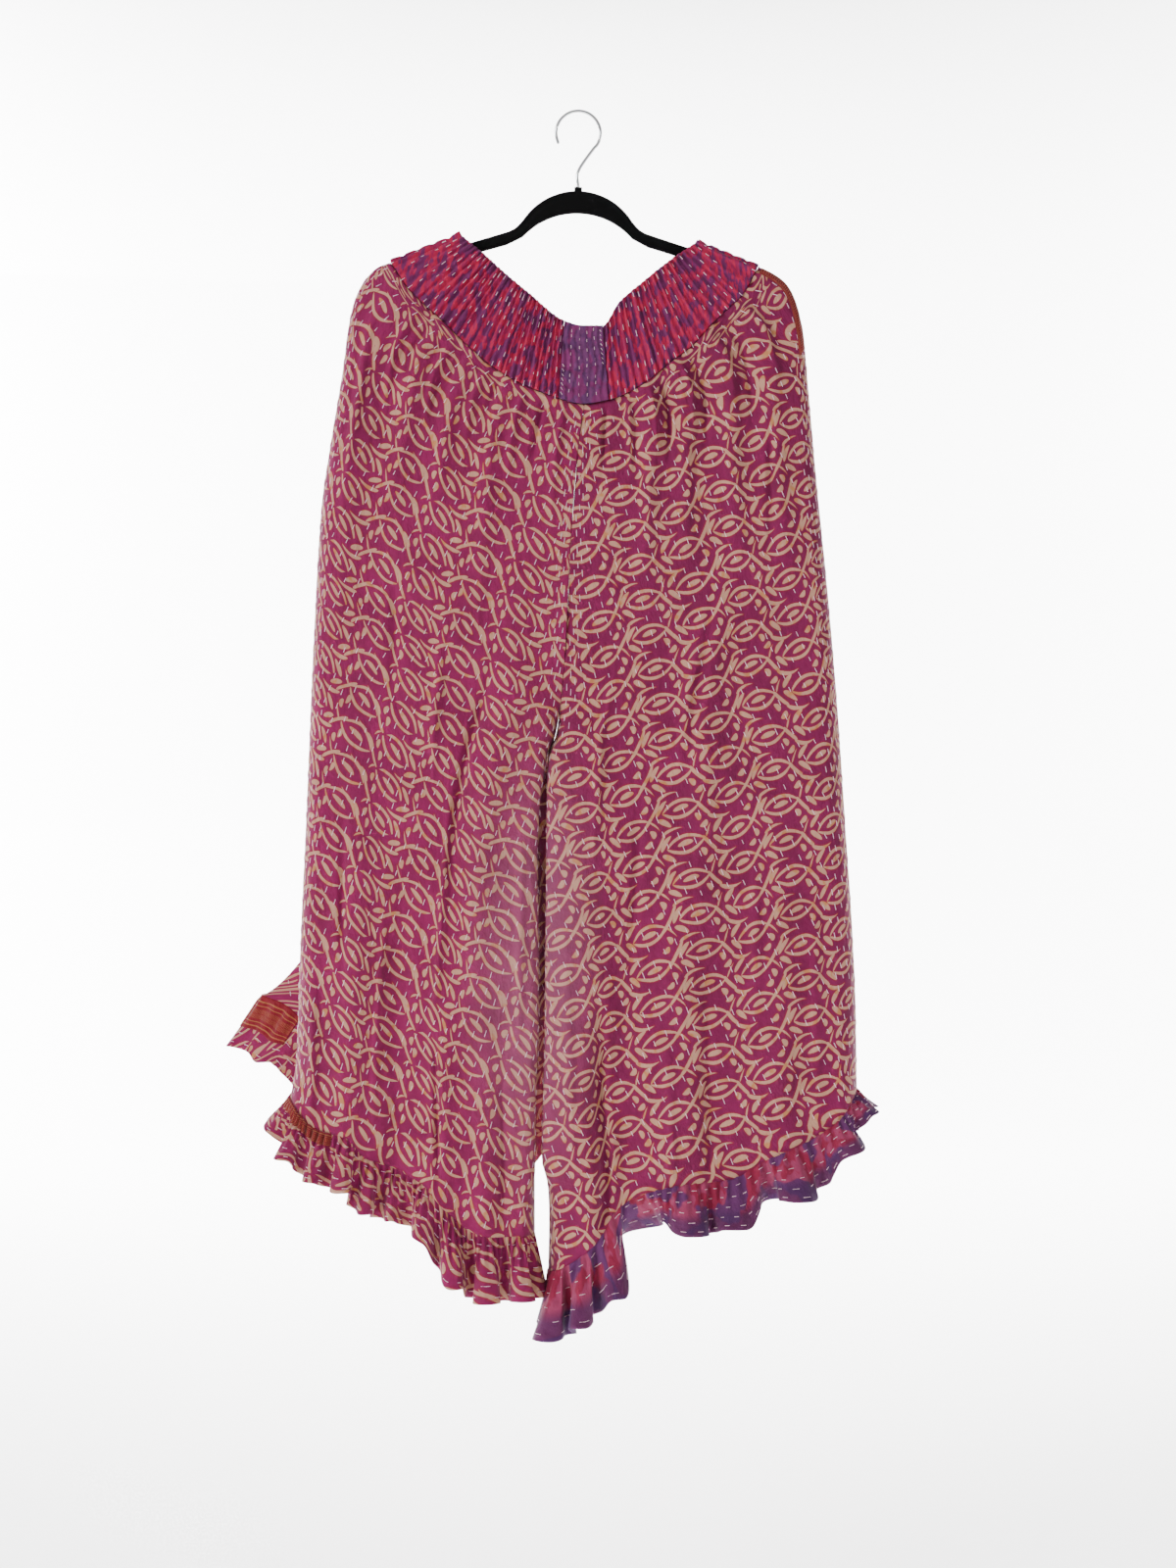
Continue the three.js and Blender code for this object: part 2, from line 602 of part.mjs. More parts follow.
// Joins two grids of points into one closed body with its faces pointing out.
function closedGrid(outer, inner, columns, rows) {
  const positions = [...outer, ...inner].flatMap((p) => [p.x, p.y, p.z]);
  const back = outer.length;
  const at = (i, j) => j * (columns + 1) + i;
  const faces = [];
  const quad = (a, b, c, d) => faces.push([a, b, c], [a, c, d]);
  for (let j = 0; j < rows; j += 1) {
    for (let i = 0; i < columns; i += 1) {
      const [a, b, c, d] = [at(i, j), at(i + 1, j), at(i + 1, j + 1), at(i, j + 1)];
      quad(a, b, c, d);
      quad(back + a, back + d, back + c, back + b);
    }
  }
  const rim = (a, b) => quad(b, a, back + a, back + b);
  for (let i = 0; i < columns; i += 1) {
    rim(at(i, 0), at(i + 1, 0));
    rim(at(i + 1, rows), at(i, rows));
  }
  for (let j = 0; j < rows; j += 1) {
    rim(at(0, j + 1), at(0, j));
    rim(at(columns, j), at(columns, j + 1));
  }
  const corner = (k) => new THREE.Vector3().fromArray(positions, 3 * k);
  const volume = faces.reduce((sum, [a, b, c]) => sum + corner(a).dot(corner(b).cross(corner(c))), 0);
  const index = faces.flatMap(([a, b, c]) => (volume > 0 ? [a, b, c] : [a, c, b]));
  const geometry = new THREE.BufferGeometry();
  geometry.setAttribute("position", new THREE.Float32BufferAttribute(positions, 3));
  geometry.setIndex(index);
  return geometry;
}

// Materials
const cloth = (color) => new THREE.MeshStandardMaterial({ color, roughness: 0.85, metalness: 0 });
const printedCotton = cloth(0x9e2666);
const bandCotton = cloth(0xb83058);
const insertCotton = cloth(0x6a3080);
const ruffleCotton = cloth(0xa83a72);
const borderCotton = cloth(0xb02020);
const velvet = new THREE.MeshStandardMaterial({ color: 0x08080a, roughness: 0.95, metalness: 0 });
const steel = new THREE.MeshStandardMaterial({ color: 0xc8c8cc, roughness: 0.25, metalness: 1 });

const part = new THREE.Group();
function add(name, geometry, material, parent = part) {
  const mesh = new THREE.Mesh(geometry, material);
  mesh.name = name;
  parent.add(mesh);
  return mesh;
}

// Hanger frame: one flat plate with a hump, two sloping arms, rounded tips and a lower bar.
function armTop(x) {
  return ARM.topAt.z - (Math.abs(x) - ARM.topAt.x) * Math.tan(radians(ARM.slope));
}

function arc(x, z, radius, from, to, steps) {
  return Array.from({ length: steps + 1 }, (_, i) => {
    const angle = radians(mix(from, to, i / steps));
    return new THREE.Vector2(x + radius * Math.cos(angle), z + radius * Math.sin(angle));
  });
}

const mirrored = (half) => [...half, ...half.map((p) => new THREE.Vector2(-p.x, p.y)).reverse()];

// The rounded end of an arm, down to the lower bar.
function armEnd(radius) {
  const slope = radians(ARM.slope);
  const topX = TIP.x + TIP.radius * Math.sin(slope);
  const z = armTop(topX) - TIP.radius * Math.cos(slope);
  return [
    ...arc(TIP.x, z, radius, 90 - ARM.slope, 0, CORNER_STEPS),
    ...arc(TIP.x, z - TIP.straight, radius, 0, -90, CORNER_STEPS),
  ];
}

function hangerOutline() {
  const { outerTop, outerRadius, outerEnds } = HUMP;
  const nubAngle = THREE.MathUtils.radToDeg(Math.acos(NUB_HALF_WIDTH / outerRadius));
  return mirrored([
    new THREE.Vector2(NUB_HALF_WIDTH, NUB_TOP),
    ...arc(0, outerTop - outerRadius, outerRadius, nubAngle, outerEnds, CORNER_STEPS),
    ...SHOULDER.map(({ x, rise }) => new THREE.Vector2(x, armTop(x) + rise)),
    ...armEnd(TIP.radius),
  ]);
}

function hangerHole() {
  const { innerTop, innerRadius, innerStarts, innerEnds } = HUMP;
  return mirrored([
    ...arc(0, innerTop - innerRadius, innerRadius, innerStarts, innerEnds, CORNER_STEPS),
    new THREE.Vector2(ARM.innerStarts, armTop(ARM.innerStarts) - ARM.height),
    ...armEnd(TIP.radius - TIP.width),
  ]).reverse();
}

function hangerFrame() {
  const shape = new THREE.Shape(hangerOutline());
  shape.holes.push(new THREE.Path(hangerHole()));
  const geometry = new THREE.ExtrudeGeometry(shape, {
    depth: HANGER_THICK,
    bevelEnabled: false,
    curveSegments: 1,
  });
  geometry.rotateX(Math.PI / 2);
  geometry.translate(0, HANGER_THICK / 2, -HUMP.outerTop);
  return geometry;
}

// Hanger hook: a straight stem, a bend and most of a circle of round wire.
function hangerHook() {
  const radius = HOOK.inner + HOOK.wire;
  const centre = -HOOK.inner;
  const points = [new THREE.Vector3(0, 0, NUB_TOP + SEAM_GAP), new THREE.Vector3(0, 0, HOOK.stemTop)];
  for (let a = HOOK.bendFrom; a <= HOOK.opensAt; a += HOOK.bendStep) {
    const t = radians(a);
    points.push(new THREE.Vector3(radius * Math.cos(t), 0, centre + radius * Math.sin(t)));
  }
  const path = new THREE.CatmullRomCurve3(points);
  const section = new THREE.Shape().absarc(0, 0, HOOK.wire, 0, 2 * Math.PI);
  return new THREE.ExtrudeGeometry(section, {
    steps: HOOK.pathSteps,
    extrudePath: path,
    curveSegments: 4,
  });
}

const hanger = new THREE.Group();
hanger.position.z = HUMP.outerTop;
hanger.rotation.y = radians(HANGER_TILT);
part.add(hanger);
add("hanger_frame", hangerFrame(), velvet, hanger);
add("hanger_hook", hangerHook(), steel);

// Waistband
const rowTrim = GATHERED_GAP / BAND_DEEP;
function gathers(count) {
  return (i, j) => {
    const turn = 2 * Math.PI * count * i;
    const { least, spread, beat, dip } = GATHER_UNEVEN;
    const uneven = least + spread * Math.sin(beat * Math.round(count * i));
    const head = 1 - dip * Math.sin(Math.PI * j);
    return GATHER_HEIGHT * uneven * head * (0.5 - 0.5 * Math.cos(turn));
  };
}

const leftArm = { waist: WAIST[0].x, seam: BAND_SEAM[0].x, overArm: true };
const rightArm = { waist: WAIST.at(-1).x, seam: BAND_SEAM.at(-1).x, overArm: true };
const insertLeft = { waist: INSERT.topLeft, seam: INSERT.seamLeft, overArm: false };
const insertRight = { waist: INSERT.topRight, seam: INSERT.seamRight, overArm: false };
const apart = (edge, by) => ({ ...edge, waist: edge.waist + by, seam: edge.seam + by });

function band(name, face, from, to, count, side) {
  const away = face === "front" ? -1 : 1;
  add(
    `waistband_${name}`,
    wall(bandSurface(face, from, to), {
      columns: 2 * count,
      rows: BAND_ROWS,
      thick: BAND_WALL,
      side,
      raise: gathers(count),
      end: 1 - rowTrim,
      levelEnd: true,
      outerEdge: from.overArm ? away : 0,
      innerEdge: to.overArm ? -away : 0,
    }),
    bandCotton,
  );
}
band("front_left", "front", leftArm, apart(insertLeft, -SEAM_GAP), GATHERS.front_left, -1);
band("front_right", "front", apart(insertRight, SEAM_GAP), rightArm, GATHERS.front_right, -1);
band("back", "back", leftArm, rightArm, GATHERS.back, 1);

add(
  "waistband_front_insert",
  wall(bandSurface("front", insertLeft, insertRight), {
    columns: 6,
    rows: 10,
    thick: BAND_WALL,
    side: -1,
    raise: (i, j) => INSERT_CREASES.reduce(
      (sum, c) => sum - INSERT_CREASE.depth * Math.exp(-(((j - c.down) / INSERT_CREASE.wide) ** 2)),
      INSERT_CREASE.depth,
    ),
    end: 1 - rowTrim,
    levelEnd: true,
  }),
  insertCotton,
);

// Legs and ruffles
for (const leg of ["left", "right"]) {
  for (const face of ["front", "back"]) {
    const name = `${leg}_${face}`;
    const away = face === "front" ? -1 : 1;
    const side = (leg === "left" ? 1 : -1) * away;
    add(
      `leg_${name}`,
      wall(legSurface(leg, face), {
        ...LEG_GRID,
        thick: LEG_WALL,
        side,
        levelStart: true,
        levelEnd: true,
        outerEdge: away,
        innerEdge: -away,
        innerEdgeFrom: CROTCH_DOWN,
      }),
      printedCotton,
    );
    add(
      `ruffle_${name}`,
      wall(ruffleSurface(leg, face), {
        columns: RUFFLES[name].waves * RUFFLE_GRID.columnsPerWave,
        rows: RUFFLE_GRID.rows,
        thick: RUFFLE_WALL,
        side,
        levelStart: true,
        outerEdge: away,
        innerEdge: -away,
      }),
      leg === "left" ? printedCotton : ruffleCotton,
    );
  }
}

// Border strips of the sari cloth, sewn on top: along the right side over the arm's tip, under
// the left front hem and across the lobe of the left back ruffle. A strip on a ruffle spans
// whole columns of it, so that the two lie face to face.
function ruffleSpan(name, first, last) {
  const columns = RUFFLES[name].waves * RUFFLE_GRID.columnsPerWave;
  return { from: first / columns, to: last / columns, columns: last - first };
}
const BORDERS = {
  border_side_right: {
    panel: legSurface("right", "front"), side: 1, columns: 4, rows: 12,
    from: 0.07, to: 0.17, start: 0.004, end: 0.115,
  },
  border_hem_left: {
    panel: ruffleSurface("left", "front"), side: -1, rows: 1,
    ...ruffleSpan("left_front", 2, 20), start: 0.02, end: 1 / RUFFLE_GRID.rows,
  },
  border_lobe_left: {
    panel: ruffleSurface("left", "back"), side: 1, rows: 2,
    ...ruffleSpan("left_back", 17, 27), start: 0, end: 2 / RUFFLE_GRID.rows,
  },
};
for (const [name, { panel, ...options }] of Object.entries(BORDERS)) {
  const lift = () => BORDER_GAP + TRIM_WALL;
  add(name, wall(panel, { ...options, thick: -BORDER_GAP, raise: lift }), borderCotton);
}

export default part;
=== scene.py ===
# %% [markdown]
# # Ruffle capri pants on a velvet hanger
# Wide cotton pants hang by their elastic waist over the arms of a flat hanger. The cloth is
# kantha work: thin layers of printed cotton held together by rows of running stitch. Each
# cut piece is made here as a thin shell on the form of its solid in the frame, with finer
# folds, gathers, puckers and sewing.

# %% Load the frame
import math
import bpy
import numpy as np
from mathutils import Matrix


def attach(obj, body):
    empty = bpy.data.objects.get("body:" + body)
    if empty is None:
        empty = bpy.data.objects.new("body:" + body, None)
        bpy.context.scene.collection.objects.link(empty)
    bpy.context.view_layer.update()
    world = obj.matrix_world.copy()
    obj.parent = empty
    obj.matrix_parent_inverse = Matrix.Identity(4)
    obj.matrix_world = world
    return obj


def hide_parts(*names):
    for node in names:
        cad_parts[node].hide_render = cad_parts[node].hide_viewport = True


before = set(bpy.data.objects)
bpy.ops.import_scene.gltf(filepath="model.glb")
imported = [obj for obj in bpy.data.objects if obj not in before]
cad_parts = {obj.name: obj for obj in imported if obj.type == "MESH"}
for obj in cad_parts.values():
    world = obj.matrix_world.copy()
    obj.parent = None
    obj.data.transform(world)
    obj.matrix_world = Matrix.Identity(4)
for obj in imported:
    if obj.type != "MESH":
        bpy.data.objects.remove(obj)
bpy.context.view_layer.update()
print("nodes in the frame:", len(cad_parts))

# %% [markdown]
# ## Sizes
# Everything is worked out in millimetres in the front view, as a pattern cutter would chalk
# it on a wall behind the garment: x to the right, z up, and y as the depth away from us. A
# short table gives each seam, and a smooth curve runs through its rows.

# %% Named sizes of the cloth
MM = 0.001
LEG_WALL, BAND_WALL, RUFFLE_WALL, BORDER_WALL = 1.6, 2.4, 1.2, 0.8
SEAM_GAP = 0.3
HALF_GAP = SEAM_GAP / 2

WAIST = np.array([
    # x, z of the waist edge from the left peak to the right one
    (-120, -126), (-97, -145), (-75, -165), (-51, -185), (-14, -214), (5, -219),
    (25, -219), (41, -196), (65, -175), (90, -155), (122, -133),
], float)
BAND_SEAM = np.array([
    # x, z of the seam under the waistband, from arm to arm
    (-192, -153.4), (-171, -184), (-144, -209), (-112, -240), (-90, -259), (-61, -277),
    (-29, -290), (5, -299), (31, -295), (63, -281), (95, -256), (117, -239), (140, -214),
    (168, -187), (184, -157.5),
], float)
CENTRE = np.array([
    # fall below the origin, then x of the left and right leg's inner edge
    (290, 8, 8), (335, 1, 1), (402, -5, -5), (468, -9, -9), (535, -12, -12),
    (587, -16, -16), (635, -23, -23), (657, -31, -31), (697, -39, -31.5),
    (757, -42.5, -32), (848, -41, -33), (938, -41, -34), (1000, -44, -35.5),
    (1059, -44.5, -37), (1100, -44.5, -31), (1125, -44.5, -30), (1185, -44, -31),
], float)
LEFT_SIDE = np.array([
    # share of the way down, then x, z of the left leg's outer edge
    (0, -192, -153.4), (0.02, -203, -157.3), (0.035, -213, -165.5), (0.053, -222, -178),
    (0.075, -229, -195), (0.1, -234, -217), (0.15, -240, -262), (0.235, -252, -335),
    (0.315, -262, -405), (0.455, -269, -525), (0.695, -278, -735), (0.82, -283, -846),
    (0.95, -287, -962), (1, -293, -1004),
], float)
RIGHT_SIDE = np.array([
    (0, 184, -157.5), (0.02, 200.5, -166), (0.037, 212, -175), (0.058, 221, -191),
    (0.08, 226.5, -210), (0.103, 230, -230), (0.167, 235, -285), (0.272, 243, -375),
    (0.414, 255, -495), (0.554, 265, -615), (0.696, 273, -735), (0.8, 279, -825),
    (0.905, 283, -915), (1, 284, -995),
], float)
LEFT_HEM = np.array([
    # share across from the outer edge, then z of the hem seam
    (0, -1004), (0.12, -1033), (0.24, -1041), (0.32, -1062), (0.43, -1073), (0.54, -1087),
    (0.65, -1116), (0.74, -1135), (0.84, -1141), (1, -1141),
], float)
RIGHT_HEM = np.array([
    (0, -995), (0.06, -1022), (0.18, -1047), (0.3, -1063), (0.42, -1084), (0.56, -1088),
    (0.68, -1097), (0.78, -1116), (0.84, -1145), (0.93, -1168), (1, -1180),
], float)
LAYERS = np.array([
    # share down, then how far the front and the back stand off, and the turn at the side
    (0, 9, 9, 9), (0.06, 11, 12, 12), (0.2, 17, 20, 17), (0.5, 25, 32, 22),
    (0.8, 31, 41, 26), (1, 35, 46, 28),
], float)
LOBE = np.array([
    # share of the columns, then x, y, z of the left back hem where it swings out
    (0, -293, 0, -1004),
    (0.07, -289, 10, -996),
    (0.15, -270, 26, -979),
    (0.22, -274, 40, -952),
    (0.29, -306, 56, -917),
    (0.335, -332, 70, -908),
    (0.38, -329, 84, -908),
    (0.45, -294, 92, -928),
    (0.6, -215, 80, -1000),
    (0.75, -145, 66, -1070),
    (0.9, -72, 46, -1135),
    (1, -44, 4, -1141),
], float)
CROTCH_Z, CROTCH_CURVE = -657, 75
INNER_TURN_SHARE, INSEAM_Y = 0.056, 4
BACK_DIP, BACK_HEM_DROP, EDGE_SPAN = 8, 14, 380
OUTER_SHARE, INNER_SHARE = 0.2, 0.12
LOBE_TOP, LOBE_GROWTH = 0.64, 1.3
SLIT_COVER = {"left": 34, "right": 22, "top": -640, "bottom": -1110, "ramp": 40, "columns": 0.24}
SLIT_SWELL = 5.5  # the soft edges of the front panels nearly close the slit in front
CENTRE_TOP_X = 8
SEAM_EASE = 0.02  # share of a panel over which its relief fades towards a seam
print("thickness of leg, band, ruffle and border:", LEG_WALL, BAND_WALL, RUFFLE_WALL,
      BORDER_WALL, "mm")

# %% [markdown]
# A tailor draws a long edge with a bent ruler through a few chalk marks. The function below
# does the same through the rows of a table and never swings past a row, so no edge bulges
# between two marks. A drawn curve could do it too, but a formula can be asked at any place.


# %% Smooth curves through the tables
def read(table, column, at):
    """A smooth value of one column at places between the rows, which never overshoots."""
    keys, values = table[:, 0], table[:, column]
    at = np.clip(np.asarray(at, float), keys[0], keys[-1])
    rise = np.diff(values) / np.diff(keys)
    before, after = rise[:-1], rise[1:]
    both = before * after > 0
    inside = np.where(both, 2 * before * after / np.where(both, before + after, 1), 0)
    slope = np.concatenate([rise[:1], inside, rise[-1:]])
    i = np.clip(np.searchsorted(keys, at, side="right") - 1, 0, len(keys) - 2)
    span = keys[i + 1] - keys[i]
    t = (at - keys[i]) / span
    lift = t * (1 - t) ** 2 * slope[i] * span - t * t * (1 - t) * slope[i + 1] * span
    return values[i] + (values[i + 1] - values[i]) * t * t * (3 - 2 * t) + lift


def mix(a, b, t):
    return a + (b - a) * t


def smooth(t):
    t = np.clip(t, 0, 1)
    return t * t * (3 - 2 * t)


print("waist edge spans", WAIST[-1, 0] - WAIST[0, 0], "mm between its peaks")

# %% [markdown]
# ## Folds
# Cloth that hangs from a gathered band falls in soft pleats that start deep at the seam and
# fade, while wide legs open into broad flutes towards the hem. Each row of the tables is one
# such fold: where it lies across the panel, from where to where it runs, how wide and deep it
# is, and how far it wanders. They are listed one by one, because a simulation would not put
# them where they hang on this pair.

# %% Folds of each panel
FOLDS = {
    # across, from, to, wide, depth, lean
    "left_front": [
        (0.13, -0.05, 0.45, 0.05, 5, -0.05), (0.3, -0.08, 0.3, 0.045, 5, -0.04),
        (0.45, -0.05, 0.22, 0.035, 4, -0.02), (0.62, -0.06, 0.35, 0.04, 4, 0.02),
        (0.84, 0.2, 0.95, 0.09, 9, -0.2), (0.6, 0.6, 1.3, 0.05, 6, 0.03),
        (0.24, 0.55, 1.3, 0.07, 7, -0.02), (0.42, 0.62, 1.3, 0.05, -6, 0.02),
        (0.78, 0.68, 1.3, 0.05, 6, 0.04),
    ],
    "right_front": [
        (0.17, -0.05, 0.4, 0.05, 5, -0.04), (0.33, -0.08, 0.32, 0.04, 5, -0.02),
        (0.5, -0.06, 0.25, 0.035, 5, 0.02), (0.66, -0.06, 0.3, 0.04, 5, 0.03),
        (0.4, 0.22, 0.75, 0.06, 6, 0.1), (0.9, 0.45, 1.3, 0.06, 7, -0.06),
        (0.74, 0.6, 1.3, 0.05, -7, 0.02), (0.55, 0.5, 1.3, 0.08, 6, 0.03),
        (0.24, 0.55, 1.3, 0.07, 6, 0.02),
    ],
    "left_back": [
        (0.25, -0.06, 0.45, 0.05, 6, -0.03), (0.5, -0.05, 0.4, 0.05, 6, 0.0),
        (0.72, -0.06, 0.5, 0.05, 6, 0.03), (0.6, 0.45, 1.3, 0.06, 9, 0.03),
        (0.8, 0.5, 1.3, 0.05, 7, 0.02),
    ],
    "right_back": [
        (0.22, -0.06, 0.45, 0.05, 6, -0.03), (0.46, -0.05, 0.4, 0.05, 6, 0.0),
        (0.7, -0.06, 0.5, 0.05, 6, 0.03), (0.25, 0.45, 1.3, 0.06, 9, -0.03),
        (0.5, 0.5, 1.3, 0.06, 9, 0.02), (0.75, 0.5, 1.3, 0.05, 7, 0.02),
    ],
}
CREASES = {
    # finer troughs and ridges: across, from, to, wide, depth, lean
    "left_front": [
        (0.2, -0.03, 0.16, 0.012, 2.2, -0.02), (0.26, -0.03, 0.1, 0.01, -1.8, -0.01),
        (0.36, -0.03, 0.14, 0.012, 2.0, -0.01), (0.41, -0.03, 0.09, 0.01, -1.6, 0.0),
        (0.52, -0.03, 0.12, 0.012, 1.9, 0.0), (0.58, -0.03, 0.08, 0.01, -1.6, 0.01),
        (0.7, -0.03, 0.13, 0.014, 2.0, 0.01), (0.8, -0.03, 0.1, 0.012, -1.7, 0.01),
        (0.9, -0.03, 0.15, 0.014, 1.8, 0.01), (0.08, 0.02, 0.3, 0.015, 2.4, 0.0),
        (0.72, 0.3, 0.62, 0.018, -2.6, -0.1), (0.62, 0.5, 0.86, 0.014, 2.4, -0.06),
        (0.5, 0.34, 0.52, 0.016, 1.8, 0.05), (0.3, 0.3, 0.46, 0.018, -1.6, 0.05),
        (0.58, 0.8, 1.02, 0.012, -3.0, 0.03), (0.93, 0.5, 0.8, 0.014, 1.8, -0.02),
        (0.16, 0.62, 0.84, 0.016, -2.0, 0.03), (0.35, 0.7, 0.96, 0.014, 2.2, -0.02),
        (0.86, 0.78, 1.02, 0.014, -2.2, 0.01), (0.07, 0.84, 1.04, 0.02, 2.2, 0.02),
    ],
    "right_front": [
        (0.14, -0.03, 0.12, 0.012, 2.0, -0.02), (0.24, -0.03, 0.15, 0.012, -1.9, -0.01),
        (0.3, -0.03, 0.1, 0.01, 1.9, 0.0), (0.42, -0.03, 0.14, 0.012, -2.2, 0.01),
        (0.47, -0.03, 0.11, 0.01, 2.2, 0.01), (0.58, -0.03, 0.13, 0.012, -2.4, 0.01),
        (0.64, -0.03, 0.1, 0.01, 2.2, 0.0), (0.76, -0.03, 0.12, 0.012, 2.0, 0.0),
        (0.88, -0.03, 0.1, 0.012, -1.8, 0.0), (0.41, 0.28, 0.52, 0.02, -1.5, 0.11),
        (0.45, 0.28, 0.52, 0.02, 1.3, 0.1), (0.16, 0.14, 0.3, 0.016, -2.2, 0.03),
        (0.8, 0.34, 0.56, 0.016, 2.0, 0.04), (0.68, 0.5, 0.76, 0.016, -2.2, 0.04),
        (0.825, 0.7, 1.06, 0.018, -5.0, -0.01), (0.93, 0.6, 0.92, 0.014, 2.2, -0.03),
        (0.3, 0.62, 0.86, 0.018, 2.0, 0.03), (0.47, 0.74, 1.02, 0.016, -2.2, 0.02),
        (0.12, 0.7, 1.0, 0.016, 1.8, 0.02), (0.6, 0.82, 1.04, 0.016, 2.2, 0.01),
    ],
    "left_back": [
        (0.2, -0.03, 0.16, 0.012, 2.2, -0.02), (0.34, -0.03, 0.12, 0.012, -2.0, 0.0),
        (0.44, -0.03, 0.14, 0.012, 2.0, 0.0), (0.58, -0.03, 0.1, 0.012, -2.0, 0.0),
        (0.66, -0.03, 0.15, 0.012, 2.2, 0.01), (0.8, -0.03, 0.12, 0.012, 2.0, 0.01),
        (0.5, 0.3, 0.5, 0.016, -2.4, 0.08), (0.36, 0.42, 0.7, 0.016, 2.2, -0.04),
        (0.7, 0.6, 0.9, 0.014, -2.6, 0.02), (0.55, 0.72, 1.0, 0.014, 2.2, 0.02),
        (0.86, 0.7, 1.0, 0.014, -2.0, 0.01),
    ],
    "right_back": [
        (0.18, -0.03, 0.14, 0.012, 2.2, -0.02), (0.3, -0.03, 0.1, 0.012, -2.0, 0.0),
        (0.4, -0.03, 0.14, 0.012, 2.0, 0.0), (0.54, -0.03, 0.12, 0.012, -2.2, 0.0),
        (0.62, -0.03, 0.15, 0.012, 2.2, 0.01), (0.82, -0.03, 0.12, 0.012, 2.0, 0.01),
        (0.35, 0.28, 0.5, 0.016, -2.4, -0.08), (0.6, 0.45, 0.7, 0.016, 2.2, 0.05),
        (0.4, 0.6, 0.9, 0.014, -2.4, 0.02), (0.68, 0.7, 1.0, 0.014, 2.2, 0.02),
        (0.15, 0.68, 1.0, 0.014, -2.0, 0.01),
    ],
}
FOLD_DEPTH, CREASE_DEPTH = 1.35, 2.7  # how much deeper the folds hang than charted
WRINKLES = {
    # how many waves, their lengths and depth in mm, then their slant and how they bend
    "waves": 16, "shortest": 28, "longest": 90, "depth": 0.32,
    "slant": (1.57, 0.5), "bend": (0.2, 0.6), "bend_over": (60, 140),
}


def fold_depth(rows, across, down):
    total = np.zeros(np.broadcast(across, down).shape)
    for place, start, end, wide, depth, lean in rows:
        t = (down - start) / (end - start)
        live = (t > 0) & (t < 1)
        off = (across - place - lean * t) / wide
        total += np.where(live, depth * np.sin(np.pi * np.clip(t, 0, 1)) * np.exp(-off * off), 0)
    return total


def wrinkles(x, z, seed):
    """Uneven small hills of worn cotton, from a few slanted waves, in parts of a millimetre."""
    draw = np.random.default_rng(seed)
    total = np.zeros(np.broadcast(x, z).shape)
    for _ in range(WRINKLES["waves"]):
        length = draw.uniform(WRINKLES["shortest"], WRINKLES["longest"])
        angle = draw.normal(*WRINKLES["slant"])
        phase = draw.uniform(0, 2 * math.pi)
        bend = draw.uniform(*WRINKLES["bend"]) * np.sin(
            z / draw.uniform(*WRINKLES["bend_over"]) + phase)
        total += (length / WRINKLES["longest"]) * np.sin(
            2 * math.pi * (x * math.sin(angle) + z * math.cos(angle)) / length + phase + bend)
    return WRINKLES["depth"] * total


print("folds and creases:", sum(map(len, FOLDS.values())) + sum(map(len, CREASES.values())))

# %% [markdown]
# ## Leg panels
# A leg is cut as a front and a back. In the front view each panel is a patch between four
# curves: the band seam, the hem, its outer edge and its inner edge. The outer edge turns
# round the hanger's arm, and the inner one runs down the centre seam and then down the leg.
# Blending the four edges fills the patch, so a change to one edge moves the cloth with it,
# where a sculpted mesh would have to be pushed into place again.


# %% Patch between four edge curves
def front_patch(top, bottom, outer, inner):
    (x00, z00), (x10, z10) = top(0.0), top(1.0)
    (x01, z01), (x11, z11) = bottom(0.0), bottom(1.0)

    def blend(a, d, t, b, o, i, p00, p10, p01, p11):
        return ((1 - d) * t + d * b + (1 - a) * o + a * i - (1 - a) * (1 - d) * p00
                - a * (1 - d) * p10 - (1 - a) * d * p01 - a * d * p11)

    def patch(a, d):
        t, b, o, i = top(a), bottom(a), outer(d), inner(d)
        return (blend(a, d, t[0], b[0], o[0], i[0], x00, x10, x01, x11),
                blend(a, d, t[1], b[1], o[1], i[1], z00, z10, z01, z11))
    return patch


def layer_course(column, outer_turn, inner_turn, closed):
    """Turns a quarter round at the outer edge, runs flat, and turns in where a leg closes."""
    c = np.abs(column)
    angle = column / OUTER_SHARE * (np.pi / 2)
    flat = (c - OUTER_SHARE) / (1 - INNER_SHARE - OUTER_SHARE)
    rest = (1 - c) / INNER_SHARE
    turned = rest * (np.pi / 2)
    at_outer, at_inner = c < OUTER_SHARE, c > 1 - INNER_SHARE
    inner_across = mix(1 - inner_turn * rest,
                       1 - inner_turn * (1 - np.cos(turned)), closed)
    across = np.where(at_outer, outer_turn * (1 - np.cos(angle)),
                      np.where(at_inner, inner_across,
                               mix(outer_turn, 1 - inner_turn, flat)))
    depth = np.where(at_outer, np.sin(angle),
                     np.where(at_inner, mix(1, np.sin(turned), closed), 1.0))
    return across, depth


def sagging_z(table, x, sag):
    t = np.clip((x - table[0, 0]) / (table[-1, 0] - table[0, 0]), 0, 1)
    return read(table, 1, x) - sag * np.sin(np.pi * t)


print("the back hangs", BACK_DIP, "mm lower at the waist")

# %% [markdown]
# Depth is then added to the flat patch. At the outer edge the cloth turns a quarter round
# towards the other panel, below the crotch it turns in at the inner edge too, and between
# them it stands off by its folds, creases and wrinkles. Soft edges swell over the slit
# between the legs. The left back panel also swings out to the side in a lobe.

# %% Surface of a leg panel
WRINKLE_SEEDS = {"left_front": 5, "right_front": 8, "left_back": 13, "right_back": 21}
SWELL_AT, SWELL_WIDE = 0.65, 0.5  # where a front edge swells most, as shares of its turn


